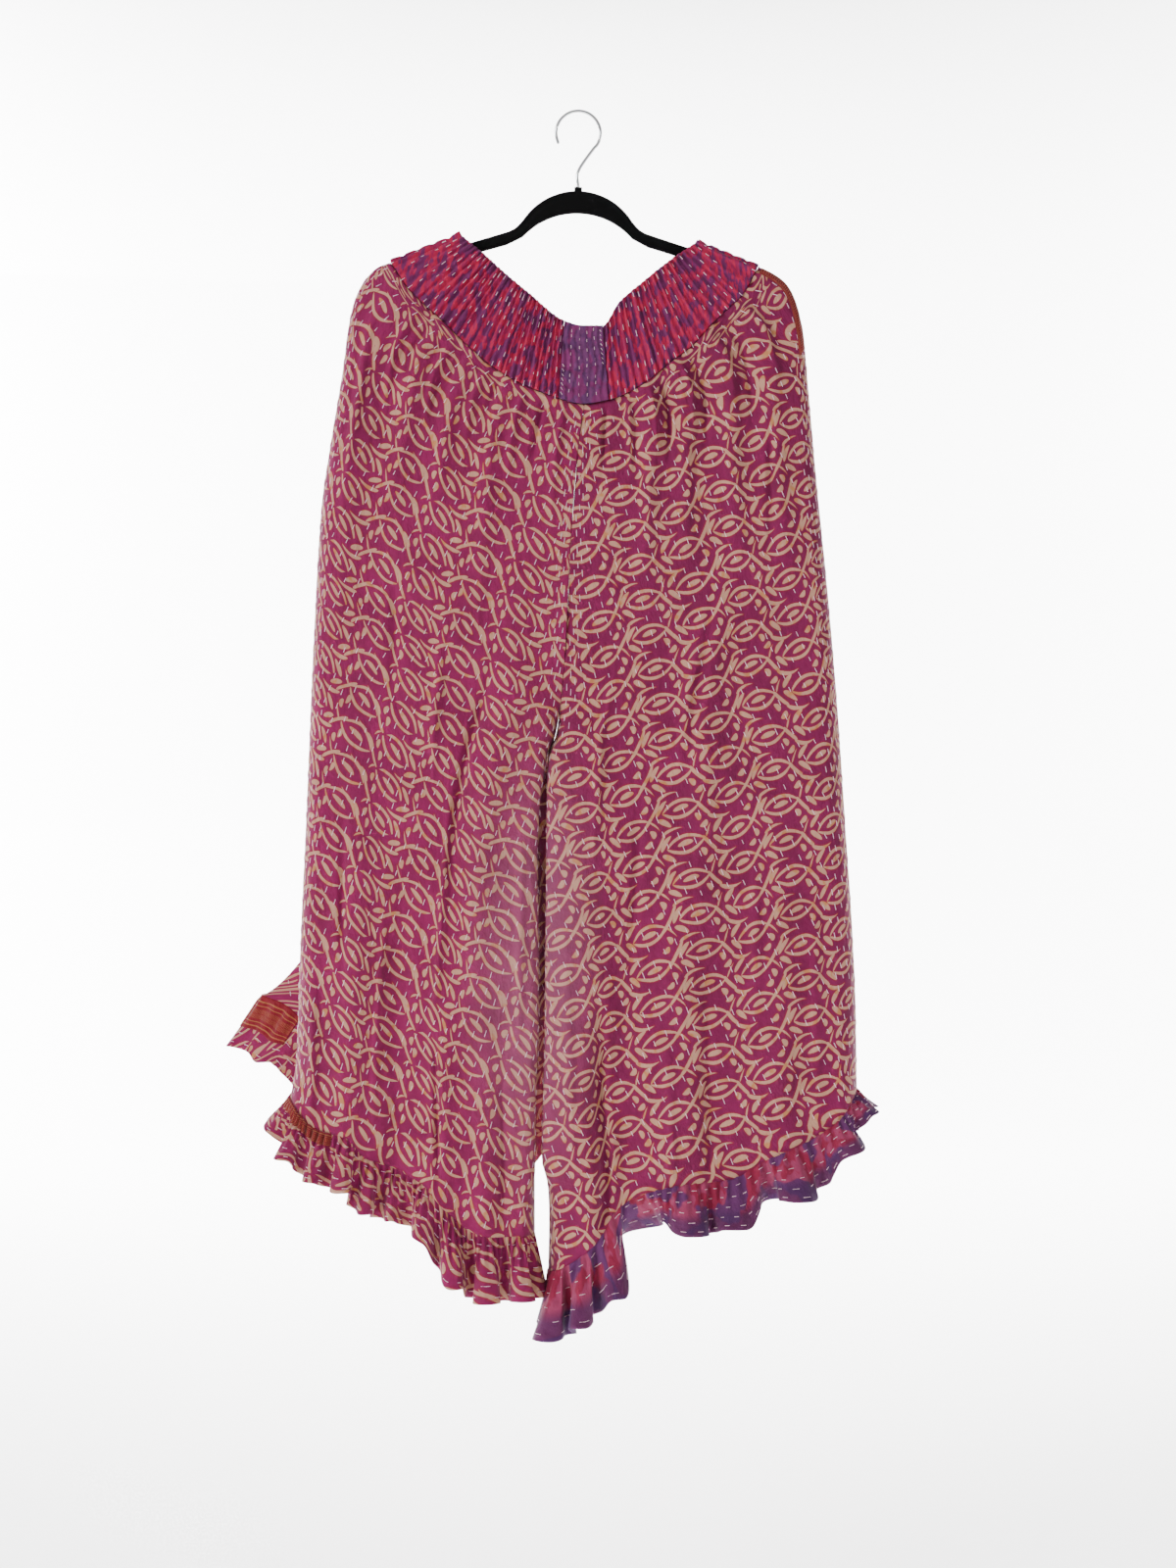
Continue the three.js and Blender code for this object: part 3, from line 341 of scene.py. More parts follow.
def leg_surface(leg, face):
    is_left, is_front = leg == "left", face == "front"
    side = LEFT_SIDE if is_left else RIGHT_SIDE
    hem = LEFT_HEM if is_left else RIGHT_HEM
    away = -1 if is_front else 1
    gap = (-1.5 if is_left else 1.5) * HALF_GAP
    sag = 0 if is_front else BACK_DIP
    hem_drop = 0 if is_front else BACK_HEM_DROP
    centre_column = 1 if is_left else 2
    centre_top = float(read(BAND_SEAM, 1, CENTRE_TOP_X))

    def inner_z(d):
        return mix(centre_top - sag, hem[-1, 1], d)

    def outer(d):
        return read(side, 1, d), read(side, 2, d)

    def inner(d):
        z = inner_z(d)
        return read(CENTRE, centre_column, -z) + gap, z

    x0, x1 = outer(0.0)[0], inner(0.0)[0]
    h0, h1 = outer(1.0)[0], inner(1.0)[0]

    def top(a):
        x = mix(x0, x1, a)
        return x, sagging_z(BAND_SEAM, x, sag)

    def bottom(a):
        lift = hem_drop * np.sin(np.pi * np.clip(a, 0, 1))
        return mix(h0, h1, a), read(hem, 1, a) - lift

    patch = front_patch(top, bottom, outer, inner)
    name = f"{leg}_{face}"

    def plain(column, down):
        z = inner_z(down)
        closed = smooth((CROTCH_Z + CROTCH_CURVE - z) / CROTCH_CURVE)
        turn = read(LAYERS, 3, down) / EDGE_SPAN
        across, depth = layer_course(column, turn, INNER_TURN_SHARE, closed)
        x, pz = patch(across, down)
        edge = mix(0, INSEAM_Y, column) + away * HALF_GAP
        stand = read(LAYERS, 1 if is_front else 2, down)
        stand = stand + fold_depth(FOLDS[name], across, down) * FOLD_DEPTH
        small = fold_depth(CREASES[name], across, down) * CREASE_DEPTH
        small = small + wrinkles(x, pz, WRINKLE_SEEDS[name])
        stand = stand + small * smooth(down / SEAM_EASE) * smooth((1 - down) / SEAM_EASE)
        slit = (smooth((SLIT_COVER["top"] - z) / SLIT_COVER["ramp"])
                * smooth((z - SLIT_COVER["bottom"]) / SLIT_COVER["ramp"]))
        if is_front:
            turned = (1 - column) / INNER_SHARE
            swell = np.exp(-((turned - SWELL_AT) / SWELL_WIDE) ** 2) * smooth(turned / SWELL_WIDE)
            x = x + SLIT_SWELL * (1 if is_left else -1) * swell * slit
        else:
            rest = np.clip((1 - column) / SLIT_COVER["columns"], 0, 1)
            x = x + SLIT_COVER[leg] * np.sin(np.pi * rest) ** 4 * slit
        return np.stack(np.broadcast_arrays(x, mix(edge, away * stand, depth), pz), -1)

    if is_front or not is_left:
        return plain

    def with_lobe(column, down):
        p = plain(column, down)
        grow = np.clip((down - LOBE_TOP) / (1 - LOBE_TOP), 0, 1) ** LOBE_GROWTH
        base = plain(column, np.ones_like(down * column))
        goal = np.stack([read(LOBE, k, column) for k in (1, 2, 3)], -1)
        goal[..., 0] -= np.where(column > 0.5, HALF_GAP, 0)
        goal[..., 1] = np.maximum(goal[..., 1], HALF_GAP)
        return p + np.asarray(grow)[..., None] * (goal - base)
    return with_lobe


PANELS = {f"{leg}_{face}": leg_surface(leg, face)
          for leg in ("left", "right") for face in ("front", "back")}
print("leg panels:", ", ".join(PANELS))

# %% [markdown]
# ## Waistband
# The band is a straight strip drawn up by rows of elastic thread, so it stands in many small
# gathers. It runs over each arm of the hanger and sags between them, front and back. A purple
# piece fills its centre front. The gathers are real ridges in the shell, uneven like hand-fed
# cloth, and each row of elastic pinches them.

# %% Surface of a stretch of the band
BAND_TURN = (0.08, 0.0275)  # share of the columns, share of the length
GATHERS = {"front_left": 28, "front_right": 22, "back": 50}
GATHER_HEIGHT, GATHER_ROUND = 3.6, 0.8  # in mm, and how round: under 1 is fuller
GATHER_SIZES, GATHER_STRAY, GATHER_WANDER = (0.55, 1.15), 0.22, (0.25, 4.0)
ELASTIC_ROWS = (0.16, 0.38, 0.6, 0.82)
PINCH, HEAD = (0.5, 0.035), (0.45, 0.07)  # at an elastic row, at the top: share and reach
INSERT = {"top_left": -14, "top_right": 25, "seam_left": -20, "seam_right": 31}
ARM_LEFT = (WAIST[0, 0], BAND_SEAM[0, 0], True)
ARM_RIGHT = (WAIST[-1, 0], BAND_SEAM[-1, 0], True)


def band_surface(face, start, end):
    away = -1 if face == "front" else 1
    sag = 0 if face == "front" else BACK_DIP
    halves = 0.5 if start[2] and end[2] else 1
    share, reach = BAND_TURN[0] * halves, BAND_TURN[1] * halves

    def top(a):
        x = mix(start[0], end[0], a)
        return x, sagging_z(WAIST, x, sag)

    def bottom(a):
        x = mix(start[1], end[1], a)
        return x, sagging_z(BAND_SEAM, x, sag)

    def line(p, q):
        return lambda d: (mix(p[0], q[0], d), mix(p[1], q[1], d))

    patch = front_patch(top, bottom, line(top(0.0), bottom(0.0)), line(top(1.0), bottom(1.0)))

    def surface(column, down):
        first, last = (share if start[2] else 0), (share if end[2] else 0)
        low, high = (reach if start[2] else 0), (reach if end[2] else 0)
        flat = mix(low, 1 - high, (column - first) / (1 - first - last))
        across, depth = flat, np.ones_like(flat)
        if start[2]:
            angle = column / share * (np.pi / 2)
            turned = column < share
            across = np.where(turned, reach * (1 - np.cos(angle)), across)
            depth = np.where(turned, np.sin(angle), depth)
        if end[2]:
            angle = (1 - column) / share * (np.pi / 2)
            turned = column > 1 - share
            across = np.where(turned, 1 - reach * (1 - np.cos(angle)), across)
            depth = np.where(turned, np.sin(angle), depth)
        x, z = patch(across, down)
        y = mix(away * HALF_GAP, away * LAYERS[0, 1], depth)
        return np.stack(np.broadcast_arrays(x, y, z), -1)
    return surface


def gather_height(count, seed):
    """Ridges of the gathers: uneven in width and height, pinched at each elastic row."""
    draw = np.random.default_rng(seed)
    heights = draw.uniform(*GATHER_SIZES, count + 2)
    shifts = draw.uniform(-GATHER_STRAY, GATHER_STRAY, count + 2)
    forks = draw.uniform(-1, 1, count + 2)

    def height(column, down):
        place = column * count
        near = np.clip(place.astype(int), 0, count)
        wander = (GATHER_WANDER[0] * np.sin(GATHER_WANDER[1] * down + forks[near])
                  + shifts[near] * np.sin(np.pi * (place % 1)))
        wave = 0.5 - 0.5 * np.cos(2 * np.pi * (place + wander * np.sin(np.pi * (place % 1)) ** 2))
        pinch = 1 - PINCH[0] * sum(np.exp(-((down - row) / PINCH[1]) ** 2) for row in ELASTIC_ROWS)
        head = 1 + HEAD[0] * np.exp(-(down / HEAD[1]) ** 2)
        return GATHER_HEIGHT * heights[near] * wave ** GATHER_ROUND * pinch * head
    return height


print("gathers in the band:", sum(GATHERS.values()))

# %% [markdown]
# ## Ruffles
# Each hem ends in a strip nearly twice as long as the hem, gathered into the seam. It falls
# in flutes that open towards its free edge, and at the inner corner of the right leg it hangs
# in deep columns. A cloth simulation would flute too, but not in these places, so each flute
# is a row of a table. The top edge is tucked up inside the hem, where a seam holds it.

# %% Surface of a ruffle
RUFFLES = {
    # edge: along, out, drop of the free edge; flutes: along, wide, depth
    "left_front": {
        "edge": [
            (0, -10, 12), (0.02, -18, 21), (0.06, -17, 34), (0.13, -13, 44), (0.2, -12, 47),
            (0.33, -8, 53), (0.45, -6, 52), (0.56, -2, 50), (0.64, 0, 70), (0.75, 0, 66),
            (0.9, 3, 64), (1, 8, 64)],
        "flutes": [
            (0.04, 0.03, 6), (0.1, 0.02, -5), (0.16, 0.03, 9), (0.215, 0.012, -6),
            (0.255, 0.02, 8), (0.295, 0.012, -7), (0.335, 0.02, 9), (0.375, 0.011, -7),
            (0.41, 0.018, 9), (0.45, 0.011, -8), (0.485, 0.018, 9), (0.53, 0.012, -8),
            (0.575, 0.022, 10), (0.62, 0.012, -10), (0.67, 0.028, 12), (0.725, 0.012, -9),
            (0.775, 0.025, 11), (0.83, 0.012, -8), (0.875, 0.024, 12), (0.925, 0.012, -8),
            (0.965, 0.018, 7)]},
    "left_back": {
        "edge": [
            (0, -10, 11), (0.02, -18, 19), (0.06, -16, 31), (0.14, -12, 41), (0.32, -34, 52),
            (0.42, -26, 54), (0.7, -4, 60), (0.88, 2, 72), (0.96, 6, 74), (1, 8, 64)],
        "flutes": [
            (0.06, 0.02, 6), (0.12, 0.015, -6), (0.19, 0.02, 6), (0.27, 0.02, 3),
            (0.315, 0.012, -3), (0.36, 0.02, 4), (0.41, 0.012, -4), (0.46, 0.02, 7),
            (0.51, 0.014, -8), (0.56, 0.022, 10), (0.61, 0.012, -8), (0.66, 0.024, 11),
            (0.715, 0.013, -9), (0.77, 0.024, 10), (0.82, 0.012, -9), (0.875, 0.024, 10),
            (0.925, 0.012, -7), (0.965, 0.018, 6)]},
    "right_front": {
        "edge": [
            (0, 7, 10), (0.02, 12, 18), (0.06, 14, 21), (0.16, 12, 27), (0.26, 10, 48),
            (0.33, 8, 50), (0.385, 6, 38), (0.45, 4, 50), (0.58, 2, 50), (0.65, 2, 31),
            (0.745, 4, 33), (0.775, 5, 72), (0.84, 3, 70), (0.93, -2, 70), (1, -6, 66)],
        "flutes": [
            (0.05, 0.035, 6), (0.125, 0.02, -6), (0.195, 0.035, 12), (0.26, 0.014, -8),
            (0.32, 0.035, 13), (0.385, 0.015, -13), (0.455, 0.04, 14), (0.52, 0.013, -5),
            (0.58, 0.036, 13), (0.69, 0.03, -20), (0.775, 0.02, 13), (0.806, 0.009, -12),
            (0.842, 0.018, 12), (0.876, 0.009, -12), (0.93, 0.028, 14)]},
    "right_back": {
        "edge": [
            (0, 7, 10), (0.02, 12, 18), (0.06, 14, 20), (0.2, 12, 24), (0.5, 6, 30),
            (0.7, 3, 28), (0.8, 2, 36), (0.93, -2, 60), (1, -6, 66)],
        "flutes": [
            (0.05, 0.03, 8), (0.115, 0.014, -6), (0.175, 0.028, 10), (0.235, 0.013, -8),
            (0.29, 0.024, 11), (0.345, 0.012, -8), (0.4, 0.026, 10), (0.455, 0.012, -9),
            (0.51, 0.025, 12), (0.565, 0.013, -8), (0.62, 0.026, 10), (0.68, 0.012, -9),
            (0.735, 0.025, 12), (0.79, 0.013, -9), (0.845, 0.026, 10), (0.9, 0.013, -7),
            (0.95, 0.022, 8)]},
}
RUFFLE_FLARE = 12
TUCK = {"up": 2.0, "behind": 0.8}  # the ruffle's raw edge goes up inside the hem
SEAM_GATHER = 2.2
FLUTE_DEPTH = 1.65
LEVEL_EDGE = 1.0  # how level the free edge of one flute hangs on a sloping hem
GATHERS_PER_FLUTE = 2.6
FLUTE_LEAN, FLUTE_SWAY, FLUTE_OPENS = 0.25, 0.9, 1.1
TUCK_REACH, GATHER_RISE, GATHER_REACH = 0.06, 0.08, 0.6  # shares of the way down the strip
FLARE_EASES, FLARE_PLACE = 0.6, 0.8  # less near the free edge, and more near the outer end
LIFT_SHARE, LEVEL_REACH = 0.12, 1.1  # how a deep flute draws its free edge up, and levels it


def ruffle_surface(name):
    leg, face = name.split("_")
    away = -1 if face == "front" else 1
    rows, flutes = np.array(RUFFLES[name]["edge"], float), RUFFLES[name]["flutes"]
    panel = leg_surface(leg, face)
    turn_sign = (-1 if leg == "right" else 1) * (-1 if face == "back" else 1)

    def hem(along):
        along = np.clip(along, 0, 1)
        return panel(along, np.ones_like(along))

    def surface(along, down):
        along, down = np.broadcast_arrays(along, down)
        base = hem(along)
        tangent = hem(along + 0.01) - hem(along - 0.01)
        tangent[..., 2] = 0
        tangent /= np.linalg.norm(tangent, axis=-1, keepdims=True)
        normal = turn_sign * np.stack(
            [tangent[..., 1], -tangent[..., 0], np.zeros_like(along)], -1)
        out, drop = read(rows, 1, along), read(rows, 2, along)
        swell = np.clip(down, 0, None) ** FLUTE_OPENS
        height, sway, level = (np.zeros_like(along) for _ in range(3))
        for k, (place, wide, depth) in enumerate(flutes):
            lean = FLUTE_LEAN * wide * math.sin(2.1 * k + 1)
            off = (along - place - lean * down) / wide
            bell = np.exp(-off * off)
            height += FLUTE_DEPTH * depth * bell
            sway += FLUTE_SWAY * abs(depth) * off * bell
            if depth > 0:
                hem_at = hem(np.array(place))[2]
                level += LEVEL_EDGE * (base[..., 2] - hem_at) * np.exp(-(off * LEVEL_REACH) ** 4)
        ends = smooth(along / SEAM_EASE) * smooth((1 - along) / SEAM_EASE)
        gathers = np.sin(2 * np.pi * len(flutes) * GATHERS_PER_FLUTE * along + 3 * np.sin(9 * along))
        height = height * swell * ends
        height += (SEAM_GATHER * gathers * ends * smooth(down / GATHER_RISE)
                   * np.exp(-(down / GATHER_REACH) ** 2))
        flare = (RUFFLE_FLARE * down * (1 - FLARE_EASES * down)
                 * np.sin(np.pi * along ** FLARE_PLACE))
        tuck = 1 - smooth(down / TUCK_REACH)
        height -= TUCK["behind"] * tuck
        fall = (-TUCK["up"] * tuck + drop * down - LIFT_SHARE * height * down
                + level * swell * ends)
        shift = np.stack([out * down, away * flare, -fall], -1)
        return base + shift + normal * height[..., None] + tangent * (sway * swell * ends)[..., None]
    return surface


print("ruffle flutes:", sum(len(ruffle["flutes"]) for ruffle in RUFFLES.values()))

# %% [markdown]
# ## From surface to shell
# A shell is two grids of points, one on the surface and one a cloth's thickness behind it,
# joined round the rim. Building both from the same formula keeps the thickness even. Each
# point also gets its place on the flat cloth in millimetres, so that print and weave lie on
# the cloth at their real size and bend with it.


# %% Shells with flat-cloth coordinates
def normals_of(points):
    across = np.gradient(points, axis=1)
    down = np.gradient(points, axis=0)
    n = np.cross(across, down)
    return n / np.maximum(np.linalg.norm(n, axis=-1, keepdims=True), 1e-9)


def add_places(mesh, name, places):
    """Gives each corner of the mesh the place of its point on a flat chart."""
    layer = mesh.uv_layers.new(name=name)
    corners = np.zeros(len(mesh.loops), np.int32)
    mesh.loops.foreach_get("vertex_index", corners)
    layer.data.foreach_set("uv", places[corners].ravel())


def make_mesh(name, points, faces, uv=None, material=None):
    mesh = bpy.data.meshes.new(name)
    mesh.from_pydata((points * MM).tolist(), [], faces.tolist())
    if uv is not None:
        add_places(mesh, "Cloth", uv * MM)
    mesh.polygons.foreach_set("use_smooth", np.ones(len(mesh.polygons), bool))
    obj = bpy.data.objects.new(name, mesh)
    bpy.context.scene.collection.objects.link(obj)
    if material:
        mesh.materials.append(material)
    return obj


def grid_faces(rows, columns, offset=0):
    j, i = np.mgrid[0:rows, 0:columns]
    a = offset + j * (columns + 1) + i
    return np.stack([a, a + 1, a + columns + 2, a + columns + 1], -1).reshape(-1, 4)


def shell(name, points, wall, side, uv, material, raised=None):
    """A closed shell: points is a grid of rows and columns, side turns its normal outward."""
    rows, columns = points.shape[0] - 1, points.shape[1] - 1
    n = normals_of(points) * side
    outer = points if raised is None else points + n * raised[..., None]
    inner = points - n * wall
    count = points.shape[0] * points.shape[1]
    front = grid_faces(rows, columns)
    back = grid_faces(rows, columns, count)[:, ::-1]
    w = columns + 1
    i, j = np.arange(columns), np.arange(rows)
    rims = []
    for a, b in ((i, i + 1), (rows * w + i + 1, rows * w + i),
                 ((j + 1) * w, j * w), (j * w + columns, (j + 1) * w + columns)):
        rims.append(np.stack([b, a, count + a, count + b], -1))
    faces = np.concatenate([front, back, *rims])
    if side < 0:
        faces = faces[:, ::-1]
    both = np.concatenate([outer.reshape(-1, 3), inner.reshape(-1, 3)])
    flat = np.concatenate([uv.reshape(-1, 2)] * 2)
    return make_mesh(name, both, faces, flat, material)


def cloth_places(points, anchor_column):
    """The place of each grid point on the flat cloth: along the row, and height."""
    steps = np.linalg.norm(np.diff(points, axis=1), axis=-1)
    run = np.concatenate([np.zeros((points.shape[0], 1)), np.cumsum(steps, 1)], 1)
    run -= run[:, anchor_column:anchor_column + 1]
    sign = np.sign(points[:, -1, 0].mean() - points[:, 0, 0].mean())
    u = points[:, anchor_column, 0][:, None] + sign * run
    return np.stack([u, points[..., 2]], -1)


def flat_size(points):
    """How wide and how long a grid of points is along the cloth, in metres."""
    wide = np.linalg.norm(np.diff(points, axis=1), axis=-1).sum(1).mean()
    long = np.linalg.norm(np.diff(points, axis=0), axis=-1).sum(0).mean()
    return float(wide) * MM, float(long) * MM


def area_of(points):
    a = np.linalg.norm(np.cross(points[1:, 1:] - points[:-1, :-1],
                                points[1:, :-1] - points[:-1, 1:]), axis=-1)
    return float(a.sum() / 2) * MM * MM


square = np.array([[(0, 0, 0), (10, 0, 0)], [(0, 0, -10), (10, 0, -10)]], float)
print("a square of 10 mm measures", flat_size(square), "m and", area_of(square), "square metres")

# %% [markdown]
# ## Colours
# Colours are picked as sRGB hex values, the way a dyer's card would give them, and one
# function turns them to the linear values that light adds up in.


# %% Colour and node helpers
def linear(hex_code):
    channels = [int(hex_code[i:i + 2], 16) / 255 for i in (0, 2, 4)]
    return tuple(c / 12.92 if c <= 0.04045 else ((c + 0.055) / 1.055) ** 2.4
                 for c in channels) + (1.0,)


def node(tree, kind, settings=None, **links):
    """Adds a node; settings are its properties, links its inputs by name, number or value."""
    made = tree.nodes.new(kind)
    for key, value in (settings or {}).items():
        setattr(made, key, value)
    for key, value in links.items():
        socket = made.inputs[int(key[1:])] if key[0] == "i" and key[1:].isdigit() else (
            made.inputs[key.replace("_", " ")])
        if isinstance(value, bpy.types.NodeSocket):
            tree.links.new(value, socket)
        else:
            socket.default_value = value
    return made


MIX_COLOUR = {"data_type": "RGBA"}  # input 0 is the share, 6 and 7 are the colours
NOISE_2D = {"noise_dimensions": "2D"}
SOFT_STEP = {"interpolation_type": "SMOOTHSTEP"}
print("mid grey in linear values:", round(linear("808080")[0], 3))

# %% [markdown]
# ## The leaf print
# The cotton carries a traditional hand-block style print: open almond leaves with a small
# leaf inside, joined by wavy stems, with single leaves and curled buds between, in tan with
# a warm edge on magenta. One brush stroke is enough to chart it all: a tapered line with a
# bend. A short table places each stroke in one repeat, in millimetres, and the repeat steps
# over the cloth along two directions. The right leg's cloth lies one way and the left leg's
# the other, so each has a chart of its own.

# %% Charts of the print
RIGHT_PRINT = {
    "anchor": (211, -799), "step_across": (117.3, 3.8), "step_down": (8.9, -35.3),
    "strokes": [
        # x, y, tilt, half length, half width, bulge, taper, bluntness
        (0, 0, 24, 20.5, 1.85, 8.2, 0, 6), (0, -0.5, 24, 20.5, 1.9, -8.2, 0, 6),
        (1, -0.6, 28, 8.5, 2.9, 0.8, 0.1, 2), (21.5, 16.5, 65, 17, 1.9, -1.4, -0.1, 6),
        (36, 34.2, 25, 11.5, 1.5, 2.4, -0.6, 3), (25.3, 3.8, -36, 7.5, 1.1, 0.8, -0.6, 2),
        (36, 7, -20, 8.2, 2.9, 0.6, -0.2, 2), (31, 21.5, 62, 9.5, 2.6, 1.4, -0.1, 2),
        (23.6, -4.8, -50, 4.6, 3.0, 1.2, 0.2, 2), (20.6, -14.9, 40, 4.8, 2.9, -1.2, 0.3, 2),
        (-56.4, -16.6, 17, 20.5, 1.85, 8.4, 0, 6), (-56.4, -16.9, 17, 20.5, 1.9, -8.4, 0, 6),
        (-56.6, -16.6, 22, 8.5, 2.9, 0.8, 0.1, 2), (-31, -15.4, -38, 10.5, 2.1, -0.6, 0, 6),
        (-12.6, -21.2, 6, 13, 1.9, -3.6, -0.6, 3), (-33.2, -2.4, 74, 7.5, 1.0, 0.6, -0.5, 2),
        (-22.6, 2.4, 55, 8.8, 2.7, 1.2, -0.2, 2), (-20.2, -12.6, -30, 8.4, 2.9, 0.6, -0.2, 2),
        (-36.4, -24.4, -45, 4.6, 3.0, 1.0, 0.2, 2), (-29.2, -31.4, 45, 5.0, 2.9, -1.2, 0.2, 2),
    ],
}
LEFT_PRINT = {
    "anchor": (-165, -448.5), "step_across": (123.7, 6.4), "step_down": (-9.4, -34.0),
    "strokes": [
        (0, 0.6, -50, 24.5, 1.75, 8.9, 0, 6), (-0.6, 0, -50, 24, 1.75, -8.3, 0, 6),
        (0, 0, -55, 10.5, 2.5, 0.6, 0.1, 2), (-19.4, 33.2, 106, 15.5, 1.75, 1.4, 0, 6),
        (-31, 56, 130, 14, 1.6, 1.6, -0.55, 3), (-22.3, 19, 15, 5, 1.2, 1.2, 0.2, 2),
        (-21, 8.3, 70, 4.4, 2.9, 1.0, 0.2, 2), (-19.8, -3.4, 75, 5, 2.8, -1.2, 0.2, 2),
        (20.6, -10.4, -68, 9.5, 2.4, 0.8, 0, 2), (17.9, -24.2, -4, 6.8, 2.9, 0.5, 0, 2),
        (63, -10.4, -42, 23.5, 1.75, 10.4, 0, 6), (62, -11.4, -42, 23.5, 1.75, -9.4, 0, 6),
        (61.6, -9.6, -47, 10.5, 2.6, 0.6, 0.1, 2), (40.4, 4.6, 12, 12.5, 1.9, 1.4, 0, 6),
        (20.4, 5.6, -31, 14, 1.9, -3.0, 0.55, 3), (40.8, 14.4, 100, 8, 1.0, 0.5, -0.4, 2),
        (27.4, 9.8, -2, 7.6, 2.9, 0.5, 0, 2), (35.7, -12.1, 80, 4.6, 2.8, 1.0, 0.2, 2),
        (42.6, -8.2, 60, 4.8, 2.6, -1.0, 0.2, 2), (81, -16, -62, 9, 2.3, 0.8, 0, 2),
    ],
}
print("the right leg's print repeats every", RIGHT_PRINT["step_across"][0], "mm across and",
      -RIGHT_PRINT["step_down"][1], "mm down")

# %% [markdown]
# A wooden block presses each leaf on with a slightly swollen edge. The stroke is a group of
# math nodes, so it stays sharp at any distance and is tuned by a few numbers. A picture of
# the print would need a file, and a mesh for each leaf would be heavy. The table lists the
# sums in order, up to how far a point lies outside the stroke.

# %% One brush stroke as a group of nodes
STROKE_STEPS = (
    # result, operation, what it works on
    ("share", "DIVIDE", "along", "Half Length"),
    ("size", "ABSOLUTE", "share"),
    ("to the end", "MINIMUM", "size", 1.0),
    ("square", "MULTIPLY", "to the end", "to the end"),
    ("rest", "SUBTRACT", 1.0, "square"),
    ("bend", "MULTIPLY", "Bulge", "rest"),
    ("blunt", "POWER", "to the end", "Bluntness"),
    ("round", "SUBTRACT", 1.0, "blunt"),
    ("full", "POWER", "round", 0.5),
    ("slim", "MULTIPLY_ADD", "share", "Taper", 1.0),
    ("body", "MULTIPLY", "Half Width", "full"),
    ("width", "MULTIPLY", "body", "slim"),
    ("off the bend", "SUBTRACT", "beside", "bend"),
    ("off", "ABSOLUTE", "off the bend"),
    ("outside", "SUBTRACT", "off", "width"),
    ("reach", "ABSOLUTE", "along"),
    ("past the end", "SUBTRACT", "reach", "Half Length"),
    ("beyond", "MAXIMUM", "past the end", 0.0),
    ("distance", "ADD", "outside", "beyond"),
    ("nearest", "MINIMUM", "distance", "So Far"),
)


def stroke_group():
    """Distance in millimetres from a tapered, bent stroke that repeats over the cloth."""
    tree = bpy.data.node_groups.new("print stroke", "ShaderNodeTree")
    for name in ("Cell", "Centre", "Row X", "Row Y"):
        tree.interface.new_socket(name, in_out="INPUT", socket_type="NodeSocketVector")
    for name in ("Half Length", "Half Width", "Bulge", "Taper", "Bluntness", "So Far"):
        tree.interface.new_socket(name, in_out="INPUT", socket_type="NodeSocketFloat")
    tree.interface.new_socket("Distance", in_out="OUTPUT", socket_type="NodeSocketFloat")
    given = node(tree, "NodeGroupInput").outputs
    made = {socket.name: socket for socket in given}
    off = node(tree, "ShaderNodeVectorMath", {"operation": "SUBTRACT"}, i0=given["Cell"],
               i1=given["Centre"]).outputs[0]
    cell = node(tree, "ShaderNodeVectorMath", {"operation": "WRAP"}, i0=off,
                i1=(0.5, 0.5, 0.5), i2=(-0.5, -0.5, -0.5)).outputs[0]
    for result, row in (("along", "Row X"), ("beside", "Row Y")):
        made[result] = node(tree, "ShaderNodeVectorMath", {"operation": "DOT_PRODUCT"},
                            i0=cell, i1=given[row]).outputs["Value"]
    for result, operation, *parts in STROKE_STEPS:
        links = {f"i{k}": made.get(part, part) for k, part in enumerate(parts)}
        made[result] = node(tree, "ShaderNodeMath", {"operation": operation}, **links).outputs[0]
    node(tree, "NodeGroupOutput", Distance=made["nearest"])
    return tree


STROKE = stroke_group()
NO_STROKE_MM = 30.0  # the distance before the first stroke is looked at


def print_distance(tree, place, chart):
    """Chains the strokes of a chart; place is the cloth place in millimetres."""
    ax, ay = chart["step_across"]
    bx, by = chart["step_down"]
    ox, oy = chart["anchor"]
    det = ax * by - ay * bx
    at = node(tree, "ShaderNodeVectorMath", {"operation": "SUBTRACT"}, i0=place,
              i1=(ox, oy, 0)).outputs[0]
    s = node(tree, "ShaderNodeVectorMath", {"operation": "DOT_PRODUCT"}, i0=at,
             i1=(by / det, -bx / det, 0)).outputs["Value"]
    t = node(tree, "ShaderNodeVectorMath", {"operation": "DOT_PRODUCT"}, i0=at,
             i1=(-ay / det, ax / det, 0)).outputs["Value"]
    cell = node(tree, "ShaderNodeCombineXYZ", X=s, Y=t).outputs[0]
    so_far = NO_STROKE_MM
    for x, y, tilt, length, width, bulge, taper, blunt in chart["strokes"]:
        c, d = math.cos(math.radians(tilt)), math.sin(math.radians(tilt))
        made = node(
            tree, "ShaderNodeGroup", {"node_tree": STROKE}, Cell=cell,
            Centre=((by * x - bx * y) / det, (-ay * x + ax * y) / det, 0),
            Row_X=(c * ax + d * ay, c * bx + d * by, 0),
            Row_Y=(-d * ax + c * ay, -d * bx + c * by, 0),
            Half_Length=length, Half_Width=width, Bulge=bulge, Taper=taper,
            Bluntness=blunt, So_Far=so_far)
        so_far = made.outputs[0]
    return so_far


print("strokes charted:", len(RIGHT_PRINT["strokes"]) + len(LEFT_PRINT["strokes"]))

# %% [markdown]
# ## Quilted cotton
# Kantha cotton is plain-woven and soft from washing, so it is matt, with a little sheen of
# loose fibres and a weak highlight. The running stitch and the wash leave it softly creased.
# Threads of 0.4 mm are too fine to show in the render, so the weave is drawn at 1.1 mm, and
# the creases, about 9 mm wide, are bump too, since they are lower than a stitch.

